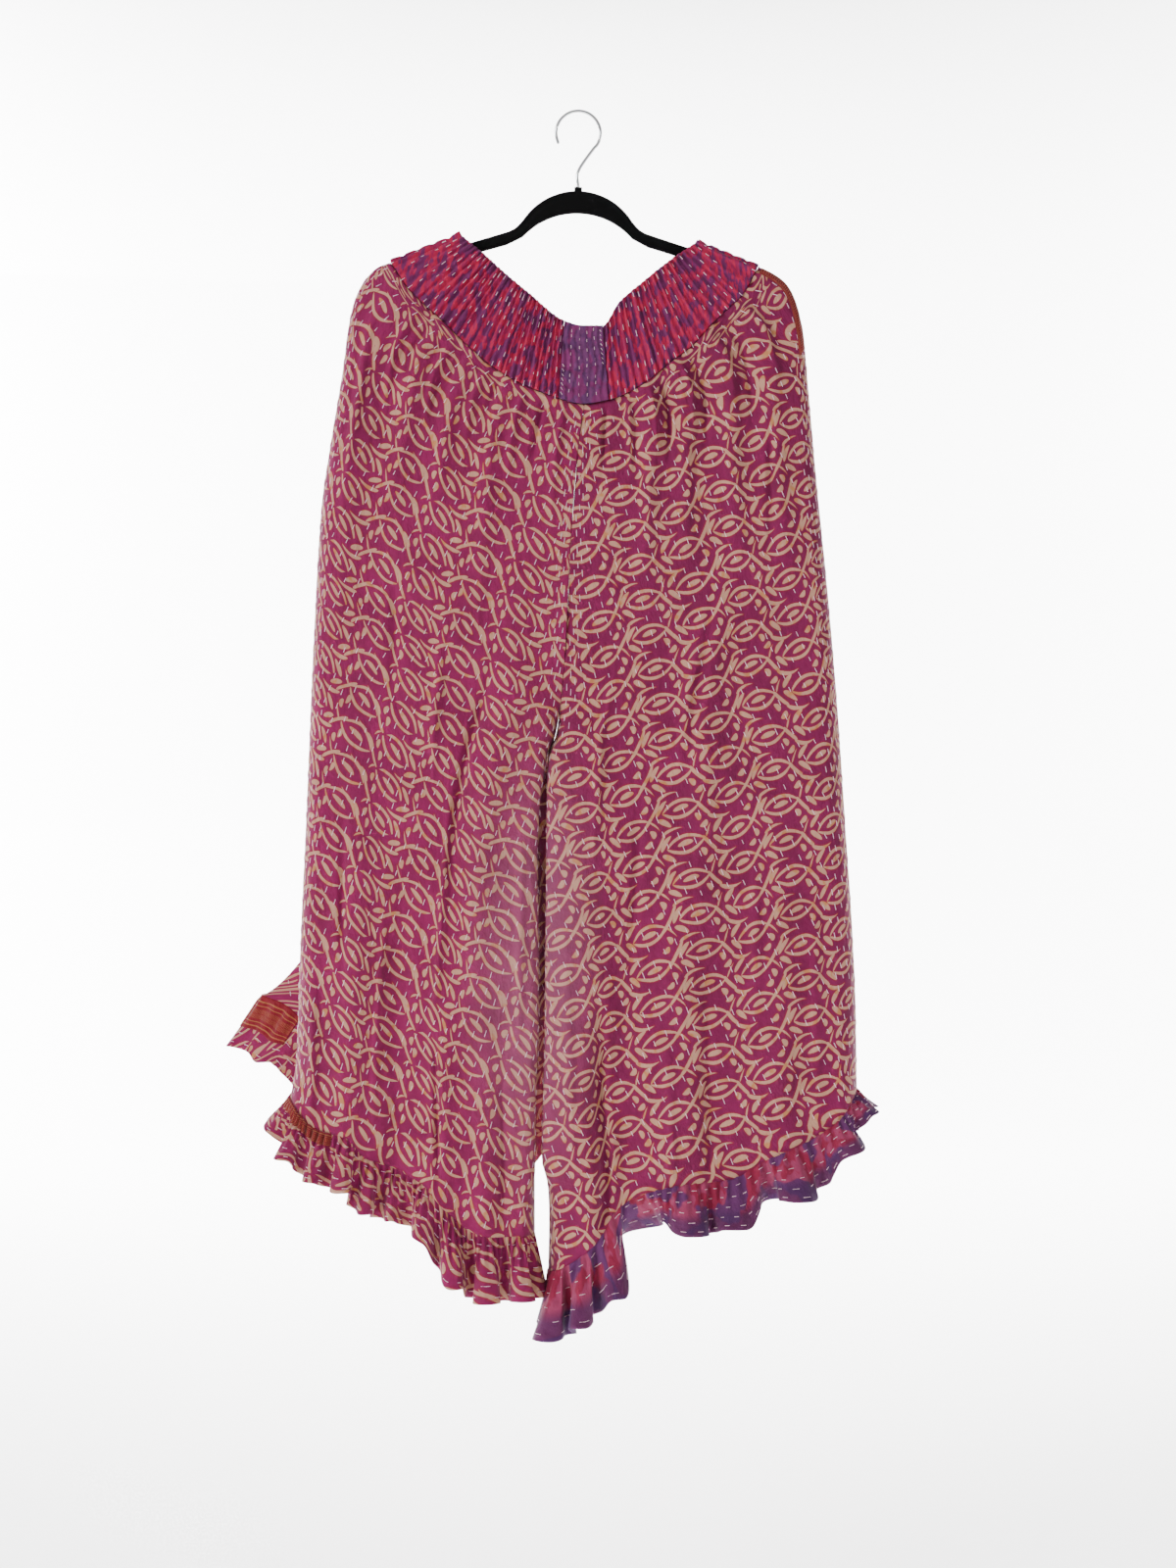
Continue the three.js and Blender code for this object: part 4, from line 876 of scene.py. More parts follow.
# %% Material of the quilted cotton
WEAVE_MM, CREASE_MM = 1.1, 100 / 11
CREASE_OVER_WEAVE = 9.0  # how many times higher the creases are
NUDGE_MM, NUDGE_WIDE_MM = 2.4, 1000 / 35  # how far and how widely the printing block strays
PATCH_MM, WARM_MM, GRAIN_MM = 50.0, 100 / 9, 2.0  # uneven dye, warm spots, rough edge


def cloth_place(tree):
    """The place on the flat cloth in millimetres, nudged a little as hand printing is."""
    uv = node(tree, "ShaderNodeUVMap", {"uv_map": "Cloth"}).outputs[0]
    place = node(tree, "ShaderNodeVectorMath", {"operation": "SCALE"}, i0=uv,
                 Scale=1 / MM).outputs[0]
    waver = node(tree, "ShaderNodeTexNoise", NOISE_2D, Vector=place, Scale=1 / NUDGE_WIDE_MM,
                 Detail=1.0)
    push = node(tree, "ShaderNodeVectorMath", {"operation": "MULTIPLY_ADD"}, i0=waver.outputs[1],
                i1=(NUDGE_MM, NUDGE_MM, 0), i2=(-NUDGE_MM / 2, -NUDGE_MM / 2, 0)).outputs[0]
    return place, node(tree, "ShaderNodeVectorMath", {"operation": "ADD"}, i0=place,
                       i1=push).outputs[0]


def finish_cotton(tree, place, colour, sheen=0.06):
    """Weave and soft creases as bump, under a matt fibre surface."""
    weave = node(tree, "ShaderNodeTexNoise", NOISE_2D, Vector=node(
        tree, "ShaderNodeVectorMath", {"operation": "MULTIPLY"}, i0=place,
        i1=(1.0, 0.45, 1.0)).outputs[0], Scale=1 / WEAVE_MM, Detail=2.0).outputs[0]
    crease = node(tree, "ShaderNodeTexNoise", NOISE_2D, Vector=node(
        tree, "ShaderNodeVectorMath", {"operation": "MULTIPLY"}, i0=place,
        i1=(1.0, 0.6, 1.0)).outputs[0], Scale=1 / CREASE_MM, Detail=3.0,
        Roughness=0.55).outputs[0]
    height = node(tree, "ShaderNodeMath", {"operation": "MULTIPLY_ADD"}, i0=crease,
                  i1=CREASE_OVER_WEAVE, i2=weave).outputs[0]
    bump = node(tree, "ShaderNodeBump", Strength=0.55, Distance=0.0004, Height=height).outputs[0]
    shader = node(tree, "ShaderNodeBsdfPrincipled", Base_Color=colour, Roughness=0.9,
                  Normal=bump, Sheen_Weight=sheen, Sheen_Roughness=0.5,
                  Specular_IOR_Level=0.25).outputs[0]
    node(tree, "ShaderNodeOutputMaterial", Surface=shader)


def start_material(name):
    material = bpy.data.materials.new(name)
    material.use_nodes = True
    material.node_tree.nodes.clear()
    return material, material.node_tree


print("weave drawn at", WEAVE_MM, "mm, soft creases at", round(CREASE_MM, 1), "mm")

# %% [markdown]
# The leg cotton was dyed magenta, then printed. A block leaves a sharp tan leaf with a thin
# rim where dye crept under the paste, so the rim is redder than the ground. A pale painted
# highlight, standing for light glare, lightens the inner legs a little. Colours are mixed by
# masks from one distance, so leaf and rim always stay together.

# %% Materials of the printed leg cotton
# Painted highlight: where and how strongly a pale glare is painted over the inner legs.
PAINTED_GLARE = {"centre": (-45, -875), "reach": (105, 290), "share": 0.1, "colour": "C89CB0"}
LEAF_COLOURS, WARM_COLOUR, RIM_COLOUR = ("9E7260", "B48670"), "A66E48", "7C142C"
LEAF_EDGE_MM, RIM_MM, RIM_SHARE = 0.35, (2.3, 0.1), 0.75


def printed_cotton(name, chart, ground_colours):
    material, tree = start_material(name)
    place, wavering = cloth_place(tree)
    distance = print_distance(tree, wavering, chart)
    patchy = node(tree, "ShaderNodeTexNoise", NOISE_2D, Vector=place, Scale=1 / PATCH_MM,
                  Detail=2.0).outputs[0]
    grain = node(tree, "ShaderNodeTexNoise", NOISE_2D, Vector=place, Scale=1 / GRAIN_MM,
                 Detail=3.0).outputs[0]
    rough = node(tree, "ShaderNodeMath", {"operation": "MULTIPLY_ADD"}, i0=grain, i1=0.5,
                 i2=-0.1).outputs[0]
    edge = node(tree, "ShaderNodeMath", {"operation": "ADD"}, i0=distance, i1=rough).outputs[0]
    leaf = node(tree, "ShaderNodeMapRange", SOFT_STEP, Value=edge, From_Min=LEAF_EDGE_MM,
                From_Max=-LEAF_EDGE_MM).outputs[0]
    rim = node(tree, "ShaderNodeMapRange", SOFT_STEP, Value=edge, From_Min=RIM_MM[0],
               From_Max=RIM_MM[1]).outputs[0]
    rim = node(tree, "ShaderNodeMath", {"operation": "MULTIPLY"}, i0=rim, i1=RIM_SHARE).outputs[0]
    ground = node(tree, "ShaderNodeMix", MIX_COLOUR, i0=patchy, i6=linear(ground_colours[0]),
                  i7=linear(ground_colours[1])).outputs[2]
    ground = node(tree, "ShaderNodeMix", MIX_COLOUR, i0=rim, i6=ground,
                  i7=linear(RIM_COLOUR)).outputs[2]
    warm = node(tree, "ShaderNodeTexNoise", NOISE_2D, Vector=place, Scale=1 / WARM_MM,
                Detail=1.0).outputs[0]
    warm = node(tree, "ShaderNodeMapRange", SOFT_STEP, Value=warm, From_Min=0.56,
                From_Max=0.76).outputs[0]
    tan = node(tree, "ShaderNodeMix", MIX_COLOUR, i0=patchy, i6=linear(LEAF_COLOURS[0]),
               i7=linear(LEAF_COLOURS[1])).outputs[2]
    tan = node(tree, "ShaderNodeMix", MIX_COLOUR, i0=warm, i6=tan,
               i7=linear(WARM_COLOUR)).outputs[2]
    colour = node(tree, "ShaderNodeMix", MIX_COLOUR, i0=leaf, i6=ground, i7=tan).outputs[2]
    # Painted highlight: a pale glare mixed into the colour, strongest over the inner legs.
    off = node(tree, "ShaderNodeVectorMath", {"operation": "SUBTRACT"}, i0=place,
               i1=(*PAINTED_GLARE["centre"], 0)).outputs[0]
    off = node(tree, "ShaderNodeVectorMath", {"operation": "DIVIDE"}, i0=off,
               i1=(*PAINTED_GLARE["reach"], 1)).outputs[0]
    far = node(tree, "ShaderNodeVectorMath", {"operation": "LENGTH"}, i0=off).outputs["Value"]
    painted_glare = node(tree, "ShaderNodeMapRange", SOFT_STEP, Value=far,
                 From_Min=1.0, From_Max=0.2, To_Max=PAINTED_GLARE["share"]).outputs[0]
    colour = node(tree, "ShaderNodeMix", MIX_COLOUR, i0=painted_glare, i6=colour,
                  i7=linear(PAINTED_GLARE["colour"])).outputs[2]
    finish_cotton(tree, place, colour)
    return material


LEG_COTTON = {
    "left": printed_cotton("quilted cotton, left leg", LEFT_PRINT, ("5F0B35", "80134B")),
    "right": printed_cotton("quilted cotton, right leg", RIGHT_PRINT, ("570A31", "751145")),
}
print("print materials:", ", ".join(cotton.name for cotton in LEG_COTTON.values()))

# %% [markdown]
# The band, the insert and the right leg's ruffles are cut from other old cloths: a blotched
# red-pink and purple print, a purple one, and a pink one that runs to purple at its edge.
# The blots could be charted one by one like the leaves, but they follow no plan, so they are
# noise at the size of a fingertip, with the hard edges of printed cloth.


# %% Materials of the other cottons
def blotched_cotton(name, colours, blot_mm):
    """colours: ground, blot, deep blot and, where the cloth darkens to its hem, the hem's."""
    material, tree = start_material(name)
    place, wavering = cloth_place(tree)
    stretched = node(tree, "ShaderNodeVectorMath", {"operation": "MULTIPLY"}, i0=wavering,
                     i1=(1.0, 0.7, 1.0)).outputs[0]
    blot = node(tree, "ShaderNodeTexNoise", NOISE_2D, Vector=stretched,
                Scale=1 / blot_mm, Detail=2.5, Roughness=0.6).outputs[0]
    deep = node(tree, "ShaderNodeTexNoise", NOISE_2D, Vector=node(
        tree, "ShaderNodeVectorMath", {"operation": "ADD"}, i0=stretched,
        i1=(310.0, 90.0, 0.0)).outputs[0], Scale=0.7 / blot_mm, Detail=2.0).outputs[0]
    first = node(tree, "ShaderNodeMapRange", SOFT_STEP, Value=blot,
                 From_Min=0.47, From_Max=0.53).outputs[0]
    second = node(tree, "ShaderNodeMapRange", SOFT_STEP, Value=deep,
                  From_Min=0.5, From_Max=0.56).outputs[0]
    colour = node(tree, "ShaderNodeMix", MIX_COLOUR, i0=first, i6=linear(colours[0]),
                  i7=linear(colours[1])).outputs[2]
    colour = node(tree, "ShaderNodeMix", MIX_COLOUR, i0=second, i6=colour,
                  i7=linear(colours[2])).outputs[2]
    if len(colours) > 3:
        uv = node(tree, "ShaderNodeUVMap", {"uv_map": "Strip"}).outputs[0]
        down = node(tree, "ShaderNodeSeparateXYZ", Vector=uv).outputs[1]
        near = node(tree, "ShaderNodeMapRange", SOFT_STEP,
                    Value=down, From_Min=0.5, From_Max=0.75).outputs[0]
        near = node(tree, "ShaderNodeMath", {"operation": "MULTIPLY"}, i0=near, i1=0.8).outputs[0]
        colour = node(tree, "ShaderNodeMix", MIX_COLOUR, i0=near, i6=colour,
                      i7=linear(colours[3])).outputs[2]
    finish_cotton(tree, place, colour)
    return material


BAND_COTTON = blotched_cotton("shirred cotton, band", ("9C163C", "801340", "5A1747"), 9)
INSERT_COTTON = blotched_cotton("cotton, purple insert", ("4C224C", "582852", "642050"), 12)
RUFFLE_COTTON = blotched_cotton("gathered cotton, right ruffles",
                                ("86304F", "7A1836", "522350", "3C1B45"), 24)
print("blotched cottons:", BAND_COTTON.name, INSERT_COTTON.name, RUFFLE_COTTON.name, sep="; ")

# %% [markdown]
# The border is the edging of a sari: red cotton with flat gold thread woven in, as two thin
# rules along each side and a row of small flowers between. Each gold line is under 1 mm, so
# it is a mask over the strip's own places and not a thread of its own. The flowers are drawn
# as short bars, as coarse as they show from where the picture was taken.

# %% Material of the woven border
RULES = ((0.12, 0.02), (0.25, 0.014))  # place from the edge and half width, as shares
FLOWERS = {"step": 0.003, "bar": 0.0004, "place": 0.42, "reach": 0.07}
GOLD_SHARE = 0.45


def border_cotton():
    material, tree = start_material("woven sari border")
    place, _ = cloth_place(tree)
    uv = node(tree, "ShaderNodeUVMap", {"uv_map": "Strip"}).outputs[0]
    part = node(tree, "ShaderNodeSeparateXYZ", Vector=uv)
    from_edge = node(tree, "ShaderNodeMath", {"operation": "PINGPONG"}, i0=part.outputs[1],
                     i1=0.5).outputs[0]
    rules = [node(tree, "ShaderNodeMath", {"operation": "COMPARE"}, i0=from_edge, i1=at,
                  i2=half).outputs[0] for at, half in RULES]
    step = node(tree, "ShaderNodeMath", {"operation": "PINGPONG"}, i0=part.outputs[0],
                i1=FLOWERS["step"]).outputs[0]
    bar = node(tree, "ShaderNodeMath", {"operation": "COMPARE"}, i0=step,
               i1=FLOWERS["step"] / 2, i2=FLOWERS["bar"]).outputs[0]
    middle = node(tree, "ShaderNodeMath", {"operation": "COMPARE"}, i0=from_edge,
                  i1=FLOWERS["place"], i2=FLOWERS["reach"]).outputs[0]
    gold = node(tree, "ShaderNodeMath", {"operation": "MULTIPLY"}, i0=bar, i1=middle).outputs[0]
    for rule in rules:
        gold = node(tree, "ShaderNodeMath", {"operation": "MAXIMUM"}, i0=gold, i1=rule).outputs[0]
    gold = node(tree, "ShaderNodeMath", {"operation": "MULTIPLY"}, i0=gold,
                i1=GOLD_SHARE).outputs[0]
    colour = node(tree, "ShaderNodeMix", MIX_COLOUR, i0=gold, i6=linear("6C0A1C"),
                  i7=linear("AC7A44")).outputs[2]
    finish_cotton(tree, place, colour, 0.1)
    return material


BORDER_COTTON = border_cotton()
print("border:", BORDER_COTTON.name)

# %% [markdown]
# The sewing thread is soft unglazed cotton, pale pink from washing with the cloth. The
# hanger is moulded plastic flocked with short black nylon fibres: it takes almost all light
# and shows a grey sheen only at grazing angles. Its hook is plated steel wire, drawn smooth,
# so it mirrors the studio softly. One recipe serves the three: they differ in base colour,
# roughness, metal and grain. Fibres are far below 1 mm, so flock is drawn as a 1.2 mm grain.


# %% Materials of thread, velvet and steel
BROAD_PER_METRE = 60.0  # slow change of tone, about 17 mm wide


def plain_material(name, base, roughness, metallic=0.0, sheen=0.0, grain_mm=1.0, bump=0.3,
                   vary=0.15):
    """A base colour that varies a little, a fine grain as bump, and one kind of shine."""
    material, tree = start_material(name)
    where = node(tree, "ShaderNodeTexCoord").outputs["Object"]
    grain = node(tree, "ShaderNodeTexNoise", Vector=where, Scale=1 / (grain_mm * MM),
                 Detail=2.0).outputs[0]
    broad = node(tree, "ShaderNodeTexNoise", Vector=where, Scale=BROAD_PER_METRE,
                 Detail=2.0).outputs[0]
    dark = tuple(c * (1 - vary) for c in base[:3]) + (1.0,)
    light = tuple(min(1, c * (1 + vary)) for c in base[:3]) + (1.0,)
    normal = node(tree, "ShaderNodeBump", Strength=bump, Distance=0.0003, Height=grain).outputs[0]
    colour = node(tree, "ShaderNodeMix", MIX_COLOUR, i0=broad, i6=dark, i7=light).outputs[2]
    shader = node(tree, "ShaderNodeBsdfPrincipled", Base_Color=colour, Roughness=roughness,
                  Metallic=metallic, Normal=normal, Sheen_Weight=sheen, Sheen_Roughness=0.35,
                  Specular_IOR_Level=0.5 if metallic else 0.12).outputs[0]
    node(tree, "ShaderNodeOutputMaterial", Surface=shader)
    return material


THREAD = plain_material("cotton thread, pale pink", linear("DCBAC4"), 0.85, sheen=0.1)
VELVET = plain_material("flocked velvet, black", linear("040405"), 0.95, sheen=0.02,
                        grain_mm=1.2, bump=0.5)
STEEL = plain_material("plated steel wire", linear("C9C9CC"), 0.22, metallic=1.0, bump=0.04,
                       grain_mm=2.0, vary=0.04)
print("materials:", len(bpy.data.materials))

# %% [markdown]
# ## Sewing the panels
# Each panel is two layers of cotton, cut to shape and quilted before it is sewn up. Its
# surface is sampled finely enough that a crease a few millimetres wide is round: a cell
# measures about 2.6 by 4.3 mm. A subdivided plane would need as many points and could not
# follow the tables.

# %% Leg panels
LEG_CELLS = (136, 200)
SIDE_OF = {"left_front": -1, "left_back": 1, "right_front": 1, "right_back": -1}


def cell_corners(columns, rows, start=0.0, end=1.0, first=0.0, last=1.0):
    """Columns from first to last and rows from start to end, as two grids of shares."""
    c = np.linspace(first, last, columns + 1)[None, :]
    r = np.linspace(start, end, rows + 1)[:, None]
    return np.broadcast_arrays(c, r)


def sample(surface, *cells, **limits):
    return surface(*cell_corners(*cells, **limits))


INNER_COLUMN = LEG_CELLS[0] - 8  # the print is laid on from here, past the turned edge
cloth_pieces = {}
for name, surface in PANELS.items():
    leg = name.split("_")[0]
    grid = sample(surface, *LEG_CELLS)
    places = cloth_places(grid, INNER_COLUMN)
    piece = shell(f"cloth_leg_{name}", grid, LEG_WALL, SIDE_OF[name], places, LEG_COTTON[leg])
    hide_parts(f"leg_{name}")
    cloth_pieces[f"leg_{name}"] = (piece, grid)
    print(piece.name, "area", round(area_of(grid), 3), "square metres")

# %% [markdown]
# A ruffle is a long strip, so its colours depend on the way across it: the pink cloth of the
# right ones turns purple at the free edge. Ruffles and borders get a second set of places for
# that, in metres along the strip and from 0 at the seam to 1 at the edge.


# %% Ruffles
def add_strip_places(piece, cells, length, upright=False):
    columns, rows = cells
    j, i = np.mgrid[0:rows + 1, 0:columns + 1]
    along, beside = (j / rows, i / columns) if upright else (i / columns, j / rows)
    one = np.stack([along * length, beside], -1).reshape(-1, 2)
    add_places(piece.data, "Strip", np.concatenate([one, one]))


RUFFLE_CELLS = (420, 26)
FULLNESS, RUFFLE_DEEP = 1.45, 62  # how much the gathers squeeze the print, and its depth in mm
STRIP_LENGTH = 0.3
HEM_ROW = 0.001  # the seam end of a ruffle, for the print's place along it
RUFFLE_SURFACES = {name: ruffle_surface(name) for name in RUFFLES}
for name, surface in RUFFLE_SURFACES.items():
    leg = name.split("_")[0]
    grid = sample(surface, *RUFFLE_CELLS)
    places = cloth_places(sample(surface, *RUFFLE_CELLS, end=HEM_ROW), RUFFLE_CELLS[0])
    places = places * np.array([FULLNESS, 1.0]) - np.array([0.0, 1.0]) * np.linspace(
        0, RUFFLE_DEEP, RUFFLE_CELLS[1] + 1)[:, None, None]
    material = LEG_COTTON["left"] if leg == "left" else RUFFLE_COTTON
    piece = shell(f"cloth_ruffle_{name}", grid, RUFFLE_WALL, SIDE_OF[name], places, material)
    add_strip_places(piece, RUFFLE_CELLS, STRIP_LENGTH)
    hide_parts(f"ruffle_{name}")
    cloth_pieces[f"ruffle_{name}"] = (piece, grid)
    print(piece.name, "area", round(area_of(grid), 3), "square metres")

# %% [markdown]
# The band is in three stretches, two in front beside the insert and one behind, as it was
# pieced from what cloth there was. The same gather formula raises each shell, with its own
# seed, so no two stretches are alike. It ends just above the seam, clear of the legs.


# %% Waistband pieces
def apart(edge, by):
    return (edge[0] + by, edge[1] + by, edge[2])


INSERT_LEFT = (INSERT["top_left"], INSERT["seam_left"], False)
INSERT_RIGHT = (INSERT["top_right"], INSERT["seam_right"], False)
BAND_HIGH, CLEAR_OF_SEAM = 77, 0.8
BAND_END = 1 - CLEAR_OF_SEAM / BAND_HIGH
CELLS_PER_GATHER, BAND_ROWS = 12, 44
BAND_FULLNESS = 1.6  # how much the gathers squeeze the blots
BANDS = {
    "front_left": (band_surface("front", ARM_LEFT, apart(INSERT_LEFT, -SEAM_GAP)), -1, 15),
    "front_right": (band_surface("front", apart(INSERT_RIGHT, SEAM_GAP), ARM_RIGHT), -1, 16),
    "back": (band_surface("back", ARM_LEFT, ARM_RIGHT), 1, 17),
}
for name, (surface, side, seed) in BANDS.items():
    count = GATHERS[name]
    cells = (count * CELLS_PER_GATHER, BAND_ROWS)
    grid = sample(surface, *cells, end=BAND_END)
    places = cloth_places(grid, 0) * np.array([BAND_FULLNESS, 1.0])
    piece = shell(f"cloth_waistband_{name}", grid, BAND_WALL, side, places, BAND_COTTON,
                  gather_height(count, seed)(*cell_corners(*cells)))
    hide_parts(f"waistband_{name}")
    cloth_pieces[f"waistband_{name}"] = (piece, grid)
    print(piece.name, "gathers", count)

# %% [markdown]
# The insert is plain purple cotton, flat where the gathers end, but the elastic still draws
# it up. So it puffs out between a few level creases and has short upright puckers, strongest
# at its sides. Two wave formulas are enough for that, and can't cut into the band beside it.

# %% Purple insert at the centre front
insert_surface = band_surface("front", INSERT_LEFT, INSERT_RIGHT)
INSERT_CELLS = (60, 70)
INSERT_SWELL = 2.4  # how far the puffed insert stands out between its creases
CREASE_ROWS, CREASE_IN, CREASE_WIDE = (0.28, 0.57, 0.8), 2.2, 0.045
PUCKERS, PUCKER_HEIGHT = 7, 0.7
grid = sample(insert_surface, *INSERT_CELLS, end=BAND_END)
c, r = cell_corners(*INSERT_CELLS)
creased = INSERT_SWELL - CREASE_IN * sum(
    np.exp(-((r - row - 0.02 * np.sin(6 * c)) / CREASE_WIDE) ** 2) for row in CREASE_ROWS)
puckers = (PUCKER_HEIGHT * np.cos(c * 2 * np.pi * PUCKERS + 2 * np.sin(9 * r))
           * (0.35 + np.abs(2 * c - 1)))
piece = shell("cloth_waistband_front_insert", grid, BAND_WALL, -1,
              cloth_places(grid, 0), INSERT_COTTON, creased + puckers)
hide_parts("waistband_front_insert")
cloth_pieces["waistband_front_insert"] = (piece, grid)
print("insert stands out by up to", round(float((creased + puckers).max()), 1), "mm")

# %% [markdown]
# ## Border strips
# Three stretches of a red and gold woven border are part of the patchwork: one runs down
# the right side from the arm, one along the left front hem, and one across the lobe of the
# left back ruffle. Each is sewn on top, so it is made from the points of the cloth under it,
# moved out by its own thickness, and bends with every fold. A strip modelled by itself would
# cut through them.

# %% Red and gold borders
LIFT = 0.35  # between a border and the cloth under it, in mm
BORDERS = {
    # surface, side, cells, then rows and columns it covers, length of its pattern, upright
    "border_side_right": (PANELS["right_front"], 1, (40, 120), (0.004, 0.115), (0.07, 0.17),
                          0.12, True),
    "border_hem_left": (RUFFLE_SURFACES["left_front"], -1, (120, 16), (0.02, 0.23),
                        (2 / 70, 20 / 70), STRIP_LENGTH, False),
    "border_lobe_left": (RUFFLE_SURFACES["left_back"], 1, (90, 30), (0.0, 0.6),
                         (17 / 65, 27 / 65), STRIP_LENGTH, False),
}
for name, (surface, side, cells, rows, columns, length, upright) in BORDERS.items():
    grid = sample(surface, *cells, start=rows[0], end=rows[1], first=columns[0],
                  last=columns[1])
    lifted = grid + normals_of(grid) * side * (LIFT + BORDER_WALL)
    piece = shell(f"cloth_{name}", lifted, BORDER_WALL, side, cloth_places(lifted, 0),
                  BORDER_COTTON)
    add_strip_places(piece, cells, length, upright)
    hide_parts(name)
    cloth_pieces[name] = (piece, grid)
print("borders:", len(BORDERS))

# %% [markdown]
# ## Running stitch
# Kantha is sewn by hand in long lines of running stitch, and only the stitch on top shows:
# 6 to 8 mm of thread, then a longer gap. Each stitch is a small roof-shaped sliver of thread
# that follows the cloth. A round thread through the cloth would take ten times the faces and
# look the same from here. All the stitches of a piece are one joined mesh, because thousands
# of objects would be slow to draw.


# %% Slivers of thread on a surface
NEAR = 0.002  # share of a panel, to feel how the cloth lies round a stitch
SUNK, RIDGE_IN = 0.15, 0.15  # mm that the edges sink in, share of the length before the ridge
STITCH_ROW_MM, STITCH_PITCH_MM, STITCH_LEAN = 10.0, 17.5, 13
STITCH_MM, LINE_STRAY, STITCH_STRAY = (5.8, 8.2), 0.12, 0.1
SEWN_COLUMNS, SEWN_ROWS = (0.02, 0.975), (0.004, 0.99)  # how near the seams of a leg
LEG_LONG, LEG_WIDE = 900.0, 290.0
PANEL_SEEDS = {"left_front": 31, "left_back": 32, "right_front": 33, "right_back": 34}


def stitches(name, surface, side, starts, ends, lift, halfwidth=0.45, height=0.55):
    """starts and ends are arrays of (column, row) places of each stitch's two ends."""
    def on(places):
        return surface(places[:, 0], places[:, 1])

    p, q, middle = on(starts), on(ends), (starts + ends) / 2
    step, drop = np.array([NEAR, 0.0]), np.array([0.0, NEAR])
    n = np.cross(on(middle + step) - on(middle - step), on(middle + drop) - on(middle - drop))
    n *= side / np.maximum(np.linalg.norm(n, axis=1, keepdims=True), 1e-9)
    along = q - p
    along /= np.maximum(np.linalg.norm(along, axis=1, keepdims=True), 1e-9)
    wide = np.cross(n, along) * halfwidth
    low = n * (lift - SUNK)
    top = n * (lift + height)
    points = np.stack([p + wide + low, p - wide + low, q + wide + low, q - wide + low,
                       mix(p, q, RIDGE_IN) + top, mix(q, p, RIDGE_IN) + top], 1)
    faces = np.array([(0, 2, 5), (0, 5, 4), (1, 4, 5), (1, 5, 3), (0, 4, 1), (2, 3, 5),
                      (0, 1, 3), (0, 3, 2)])
    all_faces = (faces[None] + 6 * np.arange(len(p))[:, None, None]).reshape(-1, 3)
    piece = make_mesh(name, points.reshape(-1, 3), all_faces, None, THREAD)
    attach(piece, "root")
    return piece


def leg_stitch_places(seed):
    """Long slanted lines of stitches, staggered, with a sewer's small unevenness."""
    draw = np.random.default_rng(seed)
    lean = math.tan(math.radians(STITCH_LEAN)) * LEG_LONG / LEG_WIDE
    (low, high), (top, bottom) = SEWN_COLUMNS, SEWN_ROWS
    places = []
    for k in range(int((1 + lean) * LEG_WIDE / STITCH_ROW_MM)):
        first = k * STITCH_ROW_MM / LEG_WIDE - lean
        offset = (0.5 if k % 2 else 0.0) + draw.uniform(-LINE_STRAY, LINE_STRAY)
        for m in range(int(LEG_LONG / STITCH_PITCH_MM)):
            stray = draw.uniform(-STITCH_STRAY, STITCH_STRAY)
            row = (m + offset + stray) * STITCH_PITCH_MM / LEG_LONG
            reach = draw.uniform(*STITCH_MM) / LEG_LONG
            column = 1 - (first + lean * row)
            column_end = 1 - (first + lean * (row + reach))
            if low < column < high and low < column_end < high and top < row < bottom - reach:
                places.append((column, row, column_end, row + reach))
    return np.array(places)


for name, surface in PANELS.items():
    at = leg_stitch_places(PANEL_SEEDS[name])
    stitches(f"stitches_leg_{name}", surface, SIDE_OF[name],
                                     at[:, :2], at[:, 2:], 0.0)
    print("stitches on leg", name, len(at))

# %% [markdown]
# On a ruffle the lines run along the strip, parallel to the hem, and its flutes bend them. A
# stitch that goes round a flute is made of two slivers, so that it follows the curve.

# %% Stitches of the ruffles, in rows along the hem
RUFFLE_STITCHES, RUFFLE_ROWS = 36, (0.12, 0.32, 0.52, 0.72, 0.9)
RUFFLE_SEED = 40
RUFFLE_STITCH, RUFFLE_STRAY, RUFFLE_ENDS = (0.26, 0.42), 0.15, (0.01, 0.985)


def ruffle_stitch_places(seed):
    draw = np.random.default_rng(seed)
    places = []
    for k, row in enumerate(RUFFLE_ROWS):
        for m in range(RUFFLE_STITCHES):
            stray = draw.uniform(-RUFFLE_STRAY, RUFFLE_STRAY)
            start = (m + 0.5 * (k % 2) + stray) / RUFFLE_STITCHES
            reach = draw.uniform(*RUFFLE_STITCH) / RUFFLE_STITCHES
            if RUFFLE_ENDS[0] < start < RUFFLE_ENDS[1] - reach:
                steps = np.linspace(start, start + reach, 3)
                places += [(a, row, b, row) for a, b in zip(steps[:-1], steps[1:])]
    return np.array(places)


for name, surface in RUFFLE_SURFACES.items():
    at = ruffle_stitch_places(RUFFLE_SEED + len(name))
    stitches(
        f"stitches_ruffle_{name}", surface, SIDE_OF[name], at[:, :2], at[:, 2:], 0.0)
    print("slivers on ruffle", name, len(at))

# %% [markdown]
# The band was quilted before it was gathered, so its stitches now stand upright, crowded on
# the ridges. Each is set on the top of its gather, as high as that gather is there.

